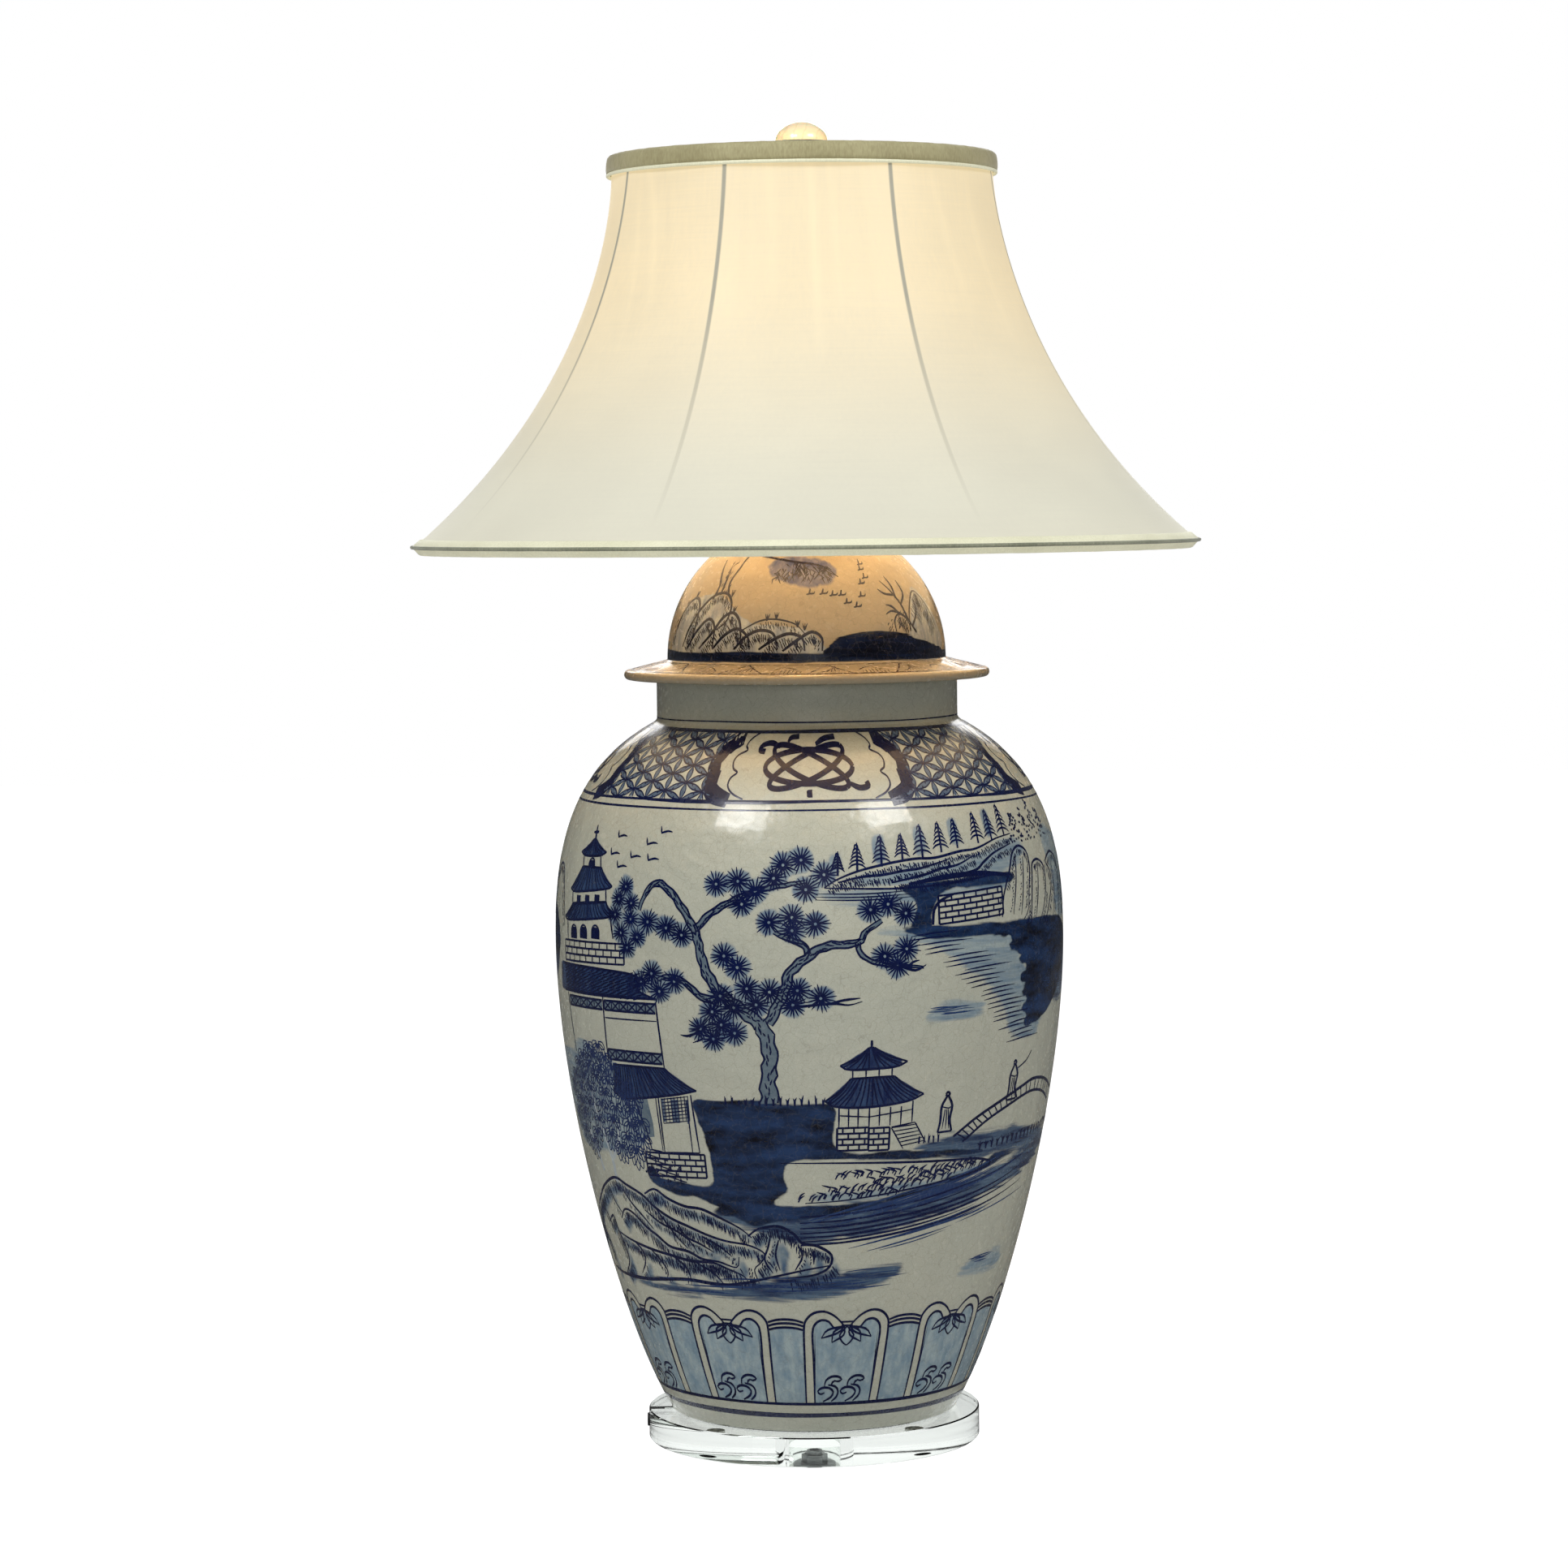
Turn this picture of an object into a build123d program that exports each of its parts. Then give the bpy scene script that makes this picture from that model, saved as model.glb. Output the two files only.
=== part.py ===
"""Table lamp: a covered porcelain ginger jar on a clear acrylic plinth, under a bell shade of eight panels.

Millimetres. +Z is up, and the origin is on the table, under the middle of the lamp. The jar, its lid and
the socket are clamped on one threaded pipe. The shade stands on the harp and is held by its finial.
"""
from build123d import *
import math
import os

# Clearances
SEAT_GAP = 0.3            # under a piece that rests on one it moves against
RUN_GAP = 0.1             # radial, round a pin or rod in its own hole
LOOSE_GAP = 0.4           # radial, round a rod that only passes through
TOUCH_GAP = 0.05          # between fixed round faces that meet

# Threaded lamp pipe and its hex nuts
PIPE_R = 5.0
PIPE_BORE_R = 3.25
PIPE_BELOW_NUT = 2.5
PIPE_IN_SOCKET = 6.0
NUT_ACROSS_FLATS = 15.0
NUT_H = 5.0
LOCKNUT_H = 3.0
WASHER_R = 14.0
WASHER_H = 1.6

# Acrylic plinth on clear bumpers
BUMPER_R = 6.0
BUMPER_H = 1.5
BUMPER_COUNT = 4
BUMPER_RING_R = 90.0
PLINTH_R = 108.0
PLINTH_H = 19.0
PLINTH_EDGE = 0.8
COUNTERBORE_R = 17.0
COUNTERBORE_H = 14.0
CORD_HOLE_R = 3.6
CORD_HOLE_RISE = 10.0     # above the plinth's underside
BUSHING_BORE_R = 2.6
BUSHING_LENGTH = 10.0
BUSHING_LIP_R = 4.4
BUSHING_LIP = 1.2
GASKET_H = 1.0
GASKET_WIDTH = 7.0

# Porcelain jar: foot, belly, shoulder and neck. Angles are from upright, pulls are the curve's handles
JAR_H = 475.5
JAR_WALL = 6.0
FOOT_R = 93.9
FOOT_ROUND = 2.5
FOOT_ANGLE = 32.4
FOOT_PULL = 51.0
FOOT_RING = 13.0
FOOT_RECESS = 5.0
FLOOR_H = 8.0
BELLY_R = 165.0
BELLY_RISE = 308.5        # above the seat of the foot
BELLY_PULL_DOWN = 109.3
BELLY_PULL_UP = 58.6
SHOULDER_ANGLE = 61.3
SHOULDER_PULL = 61.7
NECK_R = 97.4
NECK_H = 28.5
NECK_STEP = 3.1
RIM_ROUND = 2.0

# Domed lid with a flange, and a collar that hangs in the neck
FLANGE_R = 118.4
FLANGE_H = 6.0
FLANGE_ROUND = 2.8
FLANGE_SLOPE_H = 6.0
DOME_R = 90.2
DOME_WALL = 5.0
DOME_RISE = 13.0          # the dome's centre above the flange's underside
DOME_SEAT = 1.4
COLLAR_GAP = 3.0
COLLAR_WALL = 5.0
COLLAR_H = 18.0

# Dished brass cap on the lid
CAP_R = 22.0
CAP_H = 7.0
CAP_WALL = 1.2
CAP_FLAT_R = 9.0
CAP_BULGE = 1.6

# Lamp socket for a screw bulb, with a turn switch
SOCKET_HUB_R = 7.5
SOCKET_HUB_H = 4.0
SOCKET_FLARE_H = 7.5
SOCKET_SKIRT_H = 6.0
SOCKET_WALL = 0.8
SHELL_R = 16.8
SHELL_H = 45.0
SHELL_BEAD_R = 1.0
SLEEVE_WALL = 0.6
BLOCK_H = 14.0
SCREW_SHELL_R = 14.1
SCREW_SHELL_SHORT = 1.4   # its rim lies this far below the bulb's glass
CONTACT_R = 4.5
CONTACT_H = 1.6
TERMINAL_R = 2.6
TERMINAL_H = 2.0
KNOB_R = 6.2
KNOB_LENGTH = 9.5
KNOB_FLUTES = 12
KNOB_FLUTE_R = 0.8
KNOB_SHAFT_R = 1.9
KNOB_REACH = 6.0

# Bulb
BULB_CAP_R = 13.05
BULB_CAP_H = 22.0
BULB_TIP_R = 4.2
BULB_TIP_H = 2.5
BULB_R = 28.0
BULB_NECK_R = 13.6
BULB_RISE = 43.0          # the ball's centre above the metal cap
BULB_WALL = 0.8

# Harp, its saddle and ferrules
WIRE_R = 1.6
SADDLE_WIDTH = 11.0
SADDLE_H = 1.5
HARP_FOOT_X = 30.0
POST_H = 13.0
POST_COLLAR_R = 2.8
POST_COLLAR_H = 1.5
HARP_H = 194.0
HARP_BELLY_X = 58.0
HARP_TOP_X = 22.0
HARP_LEG_H = 34.0
HARP_FLARE_H = 68.0
HARP_STRAIGHT_H = 136.0
HARP_LEG_BEND = 25.0
HARP_FLARE_BEND = 40.0
HARP_SHOULDER_BEND = 80.0
HARP_TOP_BEND = 28.0
HARP_PAD_R = 8.0
FERRULE_H = 16.0
FERRULE_WALL = 0.9
STUD_R = 3.15
STUD_H = 11.4
STUD_FLANGE_R = 6.5
STUD_FLANGE_H = 2.0
RIVET_R = 2.5
RIVET_HEAD_R = 4.2
RIVET_HEAD_H = 1.4

# Bell shade: wire frame, cover, lining and bindings
HUB_R = 9.5
HUB_H = 2.2
HUB_BORE_R = 3.6
SPIDER_RISE = 8.5         # the fabric's top edge above the middle of the hub
SPIDER_ARMS = 3
SPIDER_BEND = 14.0
SPIDER_BEND_R = 8.0
FRAME_WIRE_R = 1.4
RIB_WIRE_R = 1.2
WIRE_SIDES = 12
RIB_ANGLES = (-63, -23, 26, 77, 121, 165, 209, 253)   # hand-set ribs, from the front, positive to the right
BELL_H = 246.5
BELL_TOP_R = 122.7
BELL_TOP_ANGLE = 4.0
BELL_TOP_PULL = 21.7
BELL_FOOT_R = 252.4
BELL_FOOT_ANGLE = 48.8
BELL_FOOT_PULL = 156.4
PANEL_SAG = 3.5           # how far a panel's middle is drawn in between its ribs
PANEL_SECTIONS = 9
COVER_WALL = 0.8
LINING_WALL = 0.5
LAYER_GAP = 0.4
TOP_BINDING_H = 8.6
TOP_BINDING_WALL = 2.4
TOP_PIPING_R = 1.2
FOOT_BINDING_H = 6.2
FOOT_BINDING_WALL = 0.8
FOOT_PIPING_R = 1.2
BINDING_INNER_H = 5.0
BINDING_INNER_WALL = 1.0

# Finial: a stone ball on a metal foot
FINIAL_STEM_R = 6.0
FINIAL_STEM_H = 14.6
FINIAL_DISC_R = 19.0
FINIAL_DISC_H = 4.0
FINIAL_DISC_SLOPE = 1.6
FINIAL_BORE_H = 11.0
FINIAL_BALL_R = 17.0
FINIAL_BALL_H = 13.0
ROUND_PULL = 0.5523       # the curve handle, as a share of the radius, that makes a quarter round

# Heights, worked out from the table up
PLINTH_Z = BUMPER_H
PLINTH_TOP_Z = PLINTH_Z + PLINTH_H
CORD_HOLE_Z = PLINTH_Z + CORD_HOLE_RISE
WEB_Z = PLINTH_Z + COUNTERBORE_H
NUT_Z = WEB_Z - WASHER_H - NUT_H
PIPE_Z = NUT_Z - PIPE_BELOW_NUT
JAR_Z = PLINTH_TOP_Z + GASKET_H
BELLY_Z = JAR_Z + BELLY_RISE
JAR_RIM_Z = JAR_Z + JAR_H
NECK_Z = JAR_RIM_Z - NECK_H
LID_Z = JAR_RIM_Z
DOME_Z = LID_Z + DOME_RISE
LID_HOLE_R = PIPE_R + LOOSE_GAP
CAP_Z = DOME_Z + math.sqrt(DOME_R ** 2 - (CAP_R - CAP_WALL) ** 2) + TOUCH_GAP
LOCKNUT_Z = CAP_Z + CAP_H
SADDLE_Z = LOCKNUT_Z + LOCKNUT_H
SOCKET_Z = SADDLE_Z + SADDLE_H
PIPE_TOP_Z = SOCKET_Z + PIPE_IN_SOCKET
SKIRT_Z = SOCKET_Z + SOCKET_HUB_H + SOCKET_FLARE_H
SHELL_Z = SKIRT_Z + SOCKET_WALL
SHELL_TOP_Z = SHELL_Z + SHELL_H
BLOCK_TOP_Z = SHELL_Z + BLOCK_H
KNOB_Z = SKIRT_Z + SOCKET_SKIRT_H + BLOCK_H / 4
BULB_TIP_Z = BLOCK_TOP_Z + CONTACT_H + SEAT_GAP
BULB_CAP_Z = BULB_TIP_Z + BULB_TIP_H
BULB_GLASS_Z = BULB_CAP_Z + BULB_CAP_H
BULB_Z = BULB_GLASS_Z + BULB_RISE
POST_TOP_Z = SOCKET_Z + POST_H
HARP_Z = POST_TOP_Z + SEAT_GAP
HARP_TOP_Z = HARP_Z + HARP_H
FERRULE_Z = SOCKET_Z + POST_COLLAR_H + SEAT_GAP
STUD_Z = HARP_TOP_Z + WIRE_R + SEAT_GAP
HUB_Z = STUD_Z + STUD_FLANGE_H + SEAT_GAP
BELL_TOP_Z = HUB_Z + HUB_H / 2 + SPIDER_RISE
BELL_FOOT_Z = BELL_TOP_Z - BELL_H
FINIAL_Z = HUB_Z + HUB_H + SEAT_GAP
FINIAL_DISC_Z = FINIAL_Z + FINIAL_STEM_H
FINIAL_BALL_Z = FINIAL_DISC_Z + FINIAL_DISC_H

# Depths into the shade's wall, from the cover's outer face
WIRE_DEPTH = COVER_WALL + LAYER_GAP + FRAME_WIRE_R
LINING_DEPTH = COVER_WALL + 2 * LAYER_GAP + 2 * FRAME_WIRE_R
BINDING_DEPTH = LINING_DEPTH + LINING_WALL + 1.5 * LAYER_GAP


def along(point, angle, distance):
    """The point at a distance from another, at an angle from upright, in the (radius, height) plane."""
    turn = math.radians(angle)
    return (point[0] + distance * math.sin(turn), point[1] + distance * math.cos(turn))


def turned(*edges):
    """A solid of revolution from its closed half outline of (radius, height) edges."""
    return revolve(Plane.XZ * make_face(Curve() + list(edges)), Axis.Z)


def turned_corners(*points):
    """A solid of revolution whose half outline has straight sides."""
    return turned(Polyline(*points, close=True))


def tube(outer_r, inner_r, height, z):
    """A plain ring or tube standing on a height."""
    return turned_corners((inner_r, z), (outer_r, z), (outer_r, z + height), (inner_r, z + height))


def rod(radius, height, z):
    """An upright round bar standing on a height."""
    return Pos(0, 0, z) * Cylinder(radius, height, align=(Align.CENTER, Align.CENTER, Align.MIN))


def hex_nut(height, z):
    """A hexagon nut on the lamp pipe."""
    blank = extrude(RegularPolygon(NUT_ACROSS_FLATS / 2, 6, major_radius=False), height)
    return Pos(0, 0, z) * blank - rod(PIPE_R + TOUCH_GAP, height, z)


def curve_controls(start, start_angle, start_pull, end, end_angle, end_pull, inset):
    """Four control points of a wall's curve, moved inwards by an inset square to it."""
    first = along(start, start_angle - 90, inset)
    last = along(end, end_angle - 90, inset)
    return (first, along(first, start_angle, start_pull), along(last, end_angle, -end_pull), last)


# ---- Plinth

def bumpers():
    """Clear bumpers under the plinth."""
    ring = PolarLocations(BUMPER_RING_R, BUMPER_COUNT, start_angle=45)
    return [place * rod(BUMPER_R, BUMPER_H, 0) for place in ring]


def plinth():
    """The clear disc, counterbored below for the nut and drilled from the side for the cord."""
    disc = chamfer(rod(PLINTH_R, PLINTH_H, PLINTH_Z).edges().filter_by(GeomType.CIRCLE), PLINTH_EDGE)
    disc -= rod(COUNTERBORE_R, COUNTERBORE_H, PLINTH_Z)
    disc -= rod(PIPE_R + LOOSE_GAP, PLINTH_H, PLINTH_Z)
    return disc - side_bar(CORD_HOLE_R, COUNTERBORE_R / 2, PLINTH_R)


def side_bar(radius, start, end):
    """A round bar along the cord hole's axis, between two distances from the middle."""
    bar = Cylinder(radius, end - start, align=(Align.CENTER, Align.CENTER, Align.MIN))
    return Pos(-start, 0, CORD_HOLE_Z) * Rot(0, -90, 0) * bar


def cord_bushing():
    """The black bushing in the mouth of the cord hole."""
    barrel = side_bar(CORD_HOLE_R - TOUCH_GAP, PLINTH_R - BUSHING_LENGTH, PLINTH_R)
    lip = side_bar(BUSHING_LIP_R, PLINTH_R, PLINTH_R + BUSHING_LIP)
    lip = chamfer(lip.faces().sort_by(Axis.X)[0].edges(), BUSHING_LIP / 3)
    return barrel + lip - side_bar(BUSHING_BORE_R, PLINTH_R - BUSHING_LENGTH, PLINTH_R + BUSHING_LIP)


def gasket():
    """The thin clear ring between plinth and jar."""
    outer_r = FOOT_R - 2 * FOOT_ROUND
    return tube(outer_r, outer_r - GASKET_WIDTH, GASKET_H, PLINTH_TOP_Z)


def pipe():
    """The threaded pipe that clamps plinth, jar, lid and socket together."""
    return tube(PIPE_R, PIPE_BORE_R, PIPE_TOP_Z - PIPE_Z, PIPE_Z)


# ---- Jar and lid

def jar_wall(inset):
    """The jar's side from foot to neck, as two curves that meet upright at the belly."""
    foot = (FOOT_R, JAR_Z + FOOT_ROUND)
    belly = (BELLY_R, BELLY_Z)
    neck = (NECK_R + NECK_STEP, NECK_Z)
    low = curve_controls(foot, FOOT_ANGLE, FOOT_PULL, belly, 0, BELLY_PULL_DOWN, inset)
    high = curve_controls(belly, 0, BELLY_PULL_UP, neck, -SHOULDER_ANGLE, SHOULDER_PULL, inset)
    return Bezier(*low), Bezier(*high)


def jar():
    """The thrown jar: a foot ring, one swelling wall, a straight neck, and a hole in the floor."""
    low, high = jar_wall(0)
    foot_edge = (FOOT_R - FOOT_ROUND, JAR_Z)
    rim = (NECK_R, JAR_RIM_Z)
    shoulder_end = (NECK_R, NECK_Z + NECK_STEP)
    body = turned(
        Line((0, JAR_Z), foot_edge),
        TangentArc(foot_edge, low @ 0, tangent=(1, 0.2)),
        low,
        high,
        Line(high @ 1, shoulder_end),
        Line(shoulder_end, rim),
        Line(rim, (0, JAR_RIM_Z)),
        Line((0, JAR_RIM_Z), (0, JAR_Z)),
    )
    low_in, high_in = jar_wall(JAR_WALL)
    neck_in_r = NECK_R - JAR_WALL
    floor_z = JAR_Z + FOOT_RECESS + FLOOR_H
    floor_r = (low_in @ 0).X
    body -= turned(
        Line((0, floor_z), (floor_r, floor_z)),
        Line((floor_r, floor_z), low_in @ 0),
        low_in,
        high_in,
        Line(high_in @ 1, (neck_in_r, NECK_Z)),
        Line((neck_in_r, NECK_Z), (neck_in_r, JAR_RIM_Z)),
        Line((neck_in_r, JAR_RIM_Z), (0, JAR_RIM_Z)),
        Line((0, JAR_RIM_Z), (0, floor_z)),
    )
    body -= rod(FOOT_R - FOOT_RING, FOOT_RECESS, JAR_Z)
    body -= rod(LID_HOLE_R, FLOOR_H, JAR_Z + FOOT_RECESS)
    top_edges = body.edges().filter_by(GeomType.CIRCLE).group_by(Axis.Z)[-1]
    return fillet(top_edges, RIM_ROUND)


def dome_point(radius, hole_r):
    """The point on a dome of this radius that lies above a hole's edge."""
    return (hole_r, DOME_Z + math.sqrt(radius ** 2 - hole_r ** 2))


def dome_arc(radius, hole_r, foot_z):
    """The dome's curve from a hole at its top to an upright end at its foot."""
    top = dome_point(radius, hole_r)
    middle = (radius * math.sin(math.pi / 4), DOME_Z + radius * math.cos(math.pi / 4))
    foot = (radius, DOME_Z)
    return ThreePointArc(top, middle, foot), Line(foot, (radius, foot_z))


def lid():
    """The thrown lid: a round dome, a thin sloping flange, and a collar that keeps it centred."""
    inner_r = DOME_R - DOME_WALL
    collar_r = NECK_R - JAR_WALL - COLLAR_GAP
    collar_z = LID_Z - COLLAR_H
    slope_foot = (FLANGE_R - FLANGE_ROUND, LID_Z + FLANGE_H)
    slope_top = (DOME_R + DOME_SEAT, slope_foot[1] + FLANGE_SLOPE_H)
    outer_dome, outer_side = dome_arc(DOME_R, LID_HOLE_R, slope_top[1] + DOME_SEAT)
    inner_dome, inner_side = dome_arc(inner_r, LID_HOLE_R, LID_Z)
    under_rim = (FLANGE_R - FLANGE_ROUND, LID_Z)
    rim = ThreePointArc(slope_foot, (FLANGE_R, LID_Z + FLANGE_H / 2), under_rim)
    edges = [outer_dome, outer_side, Line(outer_side @ 1, slope_top), Line(slope_top, slope_foot), rim]
    corners = [under_rim, (collar_r, LID_Z), (collar_r, collar_z), (collar_r - COLLAR_WALL, collar_z)]
    corners += [(collar_r - COLLAR_WALL, LID_Z), inner_side @ 1]
    edges.append(Polyline(*corners))
    edges += [inner_side, inner_dome, Line(inner_dome @ 0, outer_dome @ 0)]
    return turned(*edges)


def vase_cap():
    """The dished brass cap that spreads the nut's load on the lid."""
    top_z = CAP_Z + CAP_H
    inner_r = CAP_R - CAP_WALL
    under_z = top_z - CAP_WALL
    middle_r = (CAP_R + CAP_FLAT_R) / 2
    middle_z = CAP_Z + CAP_H / 2 + CAP_BULGE
    return turned(
        Line((LID_HOLE_R, top_z), (CAP_FLAT_R, top_z)),
        ThreePointArc((CAP_FLAT_R, top_z), (middle_r, middle_z), (CAP_R, CAP_Z)),
        Line((CAP_R, CAP_Z), (inner_r, CAP_Z)),
        ThreePointArc((inner_r, CAP_Z), (middle_r - CAP_WALL, middle_z - CAP_WALL), (CAP_FLAT_R, under_z)),
        Line((CAP_FLAT_R, under_z), (LID_HOLE_R, under_z)),
        Line((LID_HOLE_R, under_z), (LID_HOLE_R, top_z)),
    )


# ---- Socket, switch and bulb

def socket_cap():
    """The brass cup at the foot of the socket, screwed on the pipe."""
    inner_r = SHELL_R + LAYER_GAP
    outer_r = inner_r + SOCKET_WALL
    hub_top_z = SOCKET_Z + SOCKET_HUB_H
    skirt_top_z = SKIRT_Z + SOCKET_SKIRT_H
    hole_r = PIPE_R + TOUCH_GAP
    return turned_corners(
        (hole_r, SOCKET_Z),
        (SOCKET_HUB_R, SOCKET_Z),
        (SOCKET_HUB_R, hub_top_z),
        (outer_r, SKIRT_Z),
        (outer_r, skirt_top_z),
        (inner_r, skirt_top_z),
        (inner_r, SKIRT_Z + SOCKET_WALL / 2),
        (SOCKET_HUB_R - SOCKET_WALL, hub_top_z + SOCKET_WALL),
        (hole_r, hub_top_z + SOCKET_WALL),
    )


def knob_hole(radius):
    """A round cutter from the socket's block out through its front wall."""
    reach = SHELL_R + KNOB_REACH
    bar = Cylinder(radius, reach, align=(Align.CENTER, Align.CENTER, Align.MIN))
    return Pos(0, 0, KNOB_Z) * Rot(90, 0, 0) * bar


def socket_shell():
    """The brass shell, with a rolled bead at its mouth and a hole for the switch shaft."""
    shell = tube(SHELL_R, SHELL_R - SOCKET_WALL, SHELL_H, SHELL_Z)
    shell += Pos(0, 0, SHELL_TOP_Z - SHELL_BEAD_R) * Torus(SHELL_R, SHELL_BEAD_R)
    shell -= rod(SHELL_R - SOCKET_WALL, SHELL_H, SHELL_Z)
    return shell - knob_hole(KNOB_SHAFT_R + LOOSE_GAP)


def socket_sleeve():
    """The insulating paper sleeve inside the shell."""
    outer_r = SHELL_R - SOCKET_WALL - TOUCH_GAP
    height = SHELL_H - 2 * SHELL_BEAD_R
    return tube(outer_r, outer_r - SLEEVE_WALL, height, SHELL_Z) - knob_hole(KNOB_SHAFT_R + LOOSE_GAP)


def block_r():
    """The radius of the moulded block, a loose fit in the sleeve."""
    return SHELL_R - SOCKET_WALL - SLEEVE_WALL - 2 * TOUCH_GAP - RUN_GAP


def terminal_place(side):
    """Where a terminal screw's head sits, on the left or right of the block."""
    return Pos(side * (block_r() - TERMINAL_H), 0, SHELL_Z + BLOCK_H / 2) * Rot(0, 90, 0)


def socket_block():
    """The moulded block that carries contact, screw shell, terminals and switch."""
    block = rod(block_r(), BLOCK_H, SHELL_Z)
    block -= knob_hole(KNOB_SHAFT_R + LOOSE_GAP)
    recess_r = TERMINAL_R + LOOSE_GAP
    for side in (-1, 1):
        block -= terminal_place(side) * Cylinder(recess_r, 2 * TERMINAL_H)
    return block


def terminal_screws():
    """The two brass terminal screws."""
    screws = []
    for side in (-1, 1):
        head = Cylinder(TERMINAL_R, TERMINAL_H)
        screws.append(terminal_place(side) * head)
    return screws


def screw_shell():
    """The metal shell that the bulb screws into."""
    inner_r = BULB_CAP_R + SEAT_GAP
    height = BULB_GLASS_Z - SCREW_SHELL_SHORT - BLOCK_TOP_Z
    return tube(SCREW_SHELL_R, inner_r, height, BLOCK_TOP_Z)


def centre_contact():
    """The sprung contact under the bulb's tip."""
    return rod(CONTACT_R, CONTACT_H, BLOCK_TOP_Z)


def switch_shaft():
    """The switch's shaft, from the block out through the shell."""
    start = SHELL_R - BLOCK_H / 2
    bar = Cylinder(KNOB_SHAFT_R, KNOB_REACH + BLOCK_H / 2, align=(Align.CENTER, Align.CENTER, Align.MIN))
    return Pos(0, -start, KNOB_Z) * Rot(90, 0, 0) * bar


def switch_knob():
    """The fluted turn knob on the shaft's end."""
    blank = Cylinder(KNOB_R, KNOB_LENGTH, align=(Align.CENTER, Align.CENTER, Align.MIN))
    blank = fillet(blank.faces().sort_by(Axis.Z)[-1].edges(), KNOB_R / 6)
    flute = Cylinder(KNOB_FLUTE_R, 2 * KNOB_LENGTH)
    for place in PolarLocations(KNOB_R, KNOB_FLUTES):
        blank -= place * flute
    blank -= Cylinder(KNOB_SHAFT_R, KNOB_REACH - 2 * SEAT_GAP)
    return Pos(0, -(SHELL_R + KNOB_REACH / 2 + SEAT_GAP), KNOB_Z) * Rot(90, 0, 0) * blank


def bulb_glass():
    """The bulb's envelope, from a narrow neck to a ball."""
    def outline(inset):
        neck = (BULB_NECK_R - inset, BULB_GLASS_Z)
        side = (BULB_R - inset, BULB_Z)
        lift = BULB_RISE / 2
        flare = Bezier(neck, (neck[0], neck[1] + lift), (side[0], side[1] - lift), side)
        radius = BULB_R - inset
        slant = radius * math.sin(math.pi / 4)
        crown = ThreePointArc(side, (slant, BULB_Z + slant), (0, BULB_Z + radius))
        axis = Line((0, BULB_Z + radius), (0, BULB_GLASS_Z))
        return flare, crown, axis, Line((0, BULB_GLASS_Z), neck)
    return turned(*outline(0)) - turned(*outline(BULB_WALL))


def bulb_cap():
    """The bulb's screw cap, with a solid end and a rolled top."""
    return rod(BULB_CAP_R, BULB_CAP_H, BULB_CAP_Z)


def bulb_tip():
    """The insulated centre contact under the cap."""
    tip = rod(BULB_TIP_R, BULB_TIP_H, BULB_TIP_Z)
    return chamfer(tip.faces().sort_by(Axis.Z)[0].edges(), BULB_TIP_H / 2)


# ---- Harp

def saddle():
    """The strip under the socket whose two posts carry the harp."""
    length = 2 * HARP_FOOT_X + SADDLE_WIDTH
    strip = Pos(0, 0, SADDLE_Z) * extrude(SlotOverall(length, SADDLE_WIDTH), SADDLE_H)
    for side in (-1, 1):
        place = Pos(side * HARP_FOOT_X, 0, 0)
        strip += place * rod(WIRE_R, POST_H, SOCKET_Z)
        strip += place * rod(POST_COLLAR_R, POST_COLLAR_H, SOCKET_Z)
    return strip - rod(LID_HOLE_R, SADDLE_H, SADDLE_Z)


def harp():
    """The bent wire bow, with a drilled pad at its top."""
    right = [
        (HARP_FOOT_X, HARP_Z),
        (HARP_FOOT_X, HARP_Z + HARP_LEG_H),
        (HARP_BELLY_X, HARP_Z + HARP_FLARE_H),
        (HARP_BELLY_X, HARP_Z + HARP_STRAIGHT_H),
        (HARP_TOP_X, HARP_TOP_Z),
    ]
    left = [(-x, z) for x, z in reversed(right)]
    bends = [HARP_LEG_BEND, HARP_FLARE_BEND, HARP_SHOULDER_BEND, HARP_TOP_BEND]
    path = FilletPolyline(*[(x, 0, z) for x, z in right + left], radius=bends + bends[::-1])
    bow = sweep(Pos(HARP_FOOT_X, 0, HARP_Z) * Circle(WIRE_R), path=path)
    pad_z = HARP_TOP_Z - WIRE_R
    bow += rod(HARP_PAD_R, 2 * WIRE_R, pad_z)
    return bow - rod(RIVET_R + RUN_GAP, 2 * WIRE_R, pad_z)


def ferrule(side):
    """A sleeve that locks one leg of the harp to its post."""
    inner_r = WIRE_R + RUN_GAP
    sleeve = tube(inner_r + FERRULE_WALL, inner_r, FERRULE_H, FERRULE_Z)
    return Pos(side * HARP_FOOT_X, 0, 0) * sleeve


def stud():
    """The swivel stud riveted through the harp's pad, with a thread for the finial."""
    rivet_z = HARP_TOP_Z - WIRE_R - SEAT_GAP
    flange_top_z = STUD_Z + STUD_FLANGE_H
    return turned_corners(
        (0, rivet_z - RIVET_HEAD_H),
        (RIVET_HEAD_R, rivet_z - RIVET_HEAD_H),
        (RIVET_HEAD_R, rivet_z),
        (RIVET_R, rivet_z),
        (RIVET_R, STUD_Z),
        (STUD_FLANGE_R, STUD_Z),
        (STUD_FLANGE_R, flange_top_z),
        (STUD_R, flange_top_z),
        (STUD_R, flange_top_z + STUD_H),
        (0, flange_top_z + STUD_H),
    )


# ---- Shade

def bell_outline():
    """The bell's outer line from its foot up to its top edge."""
    foot = (BELL_FOOT_R, BELL_FOOT_Z)
    top = (BELL_TOP_R, BELL_TOP_Z)
    return Bezier(*curve_controls(foot, -BELL_FOOT_ANGLE, BELL_FOOT_PULL, top, -BELL_TOP_ANGLE, BELL_TOP_PULL, 0))


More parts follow.
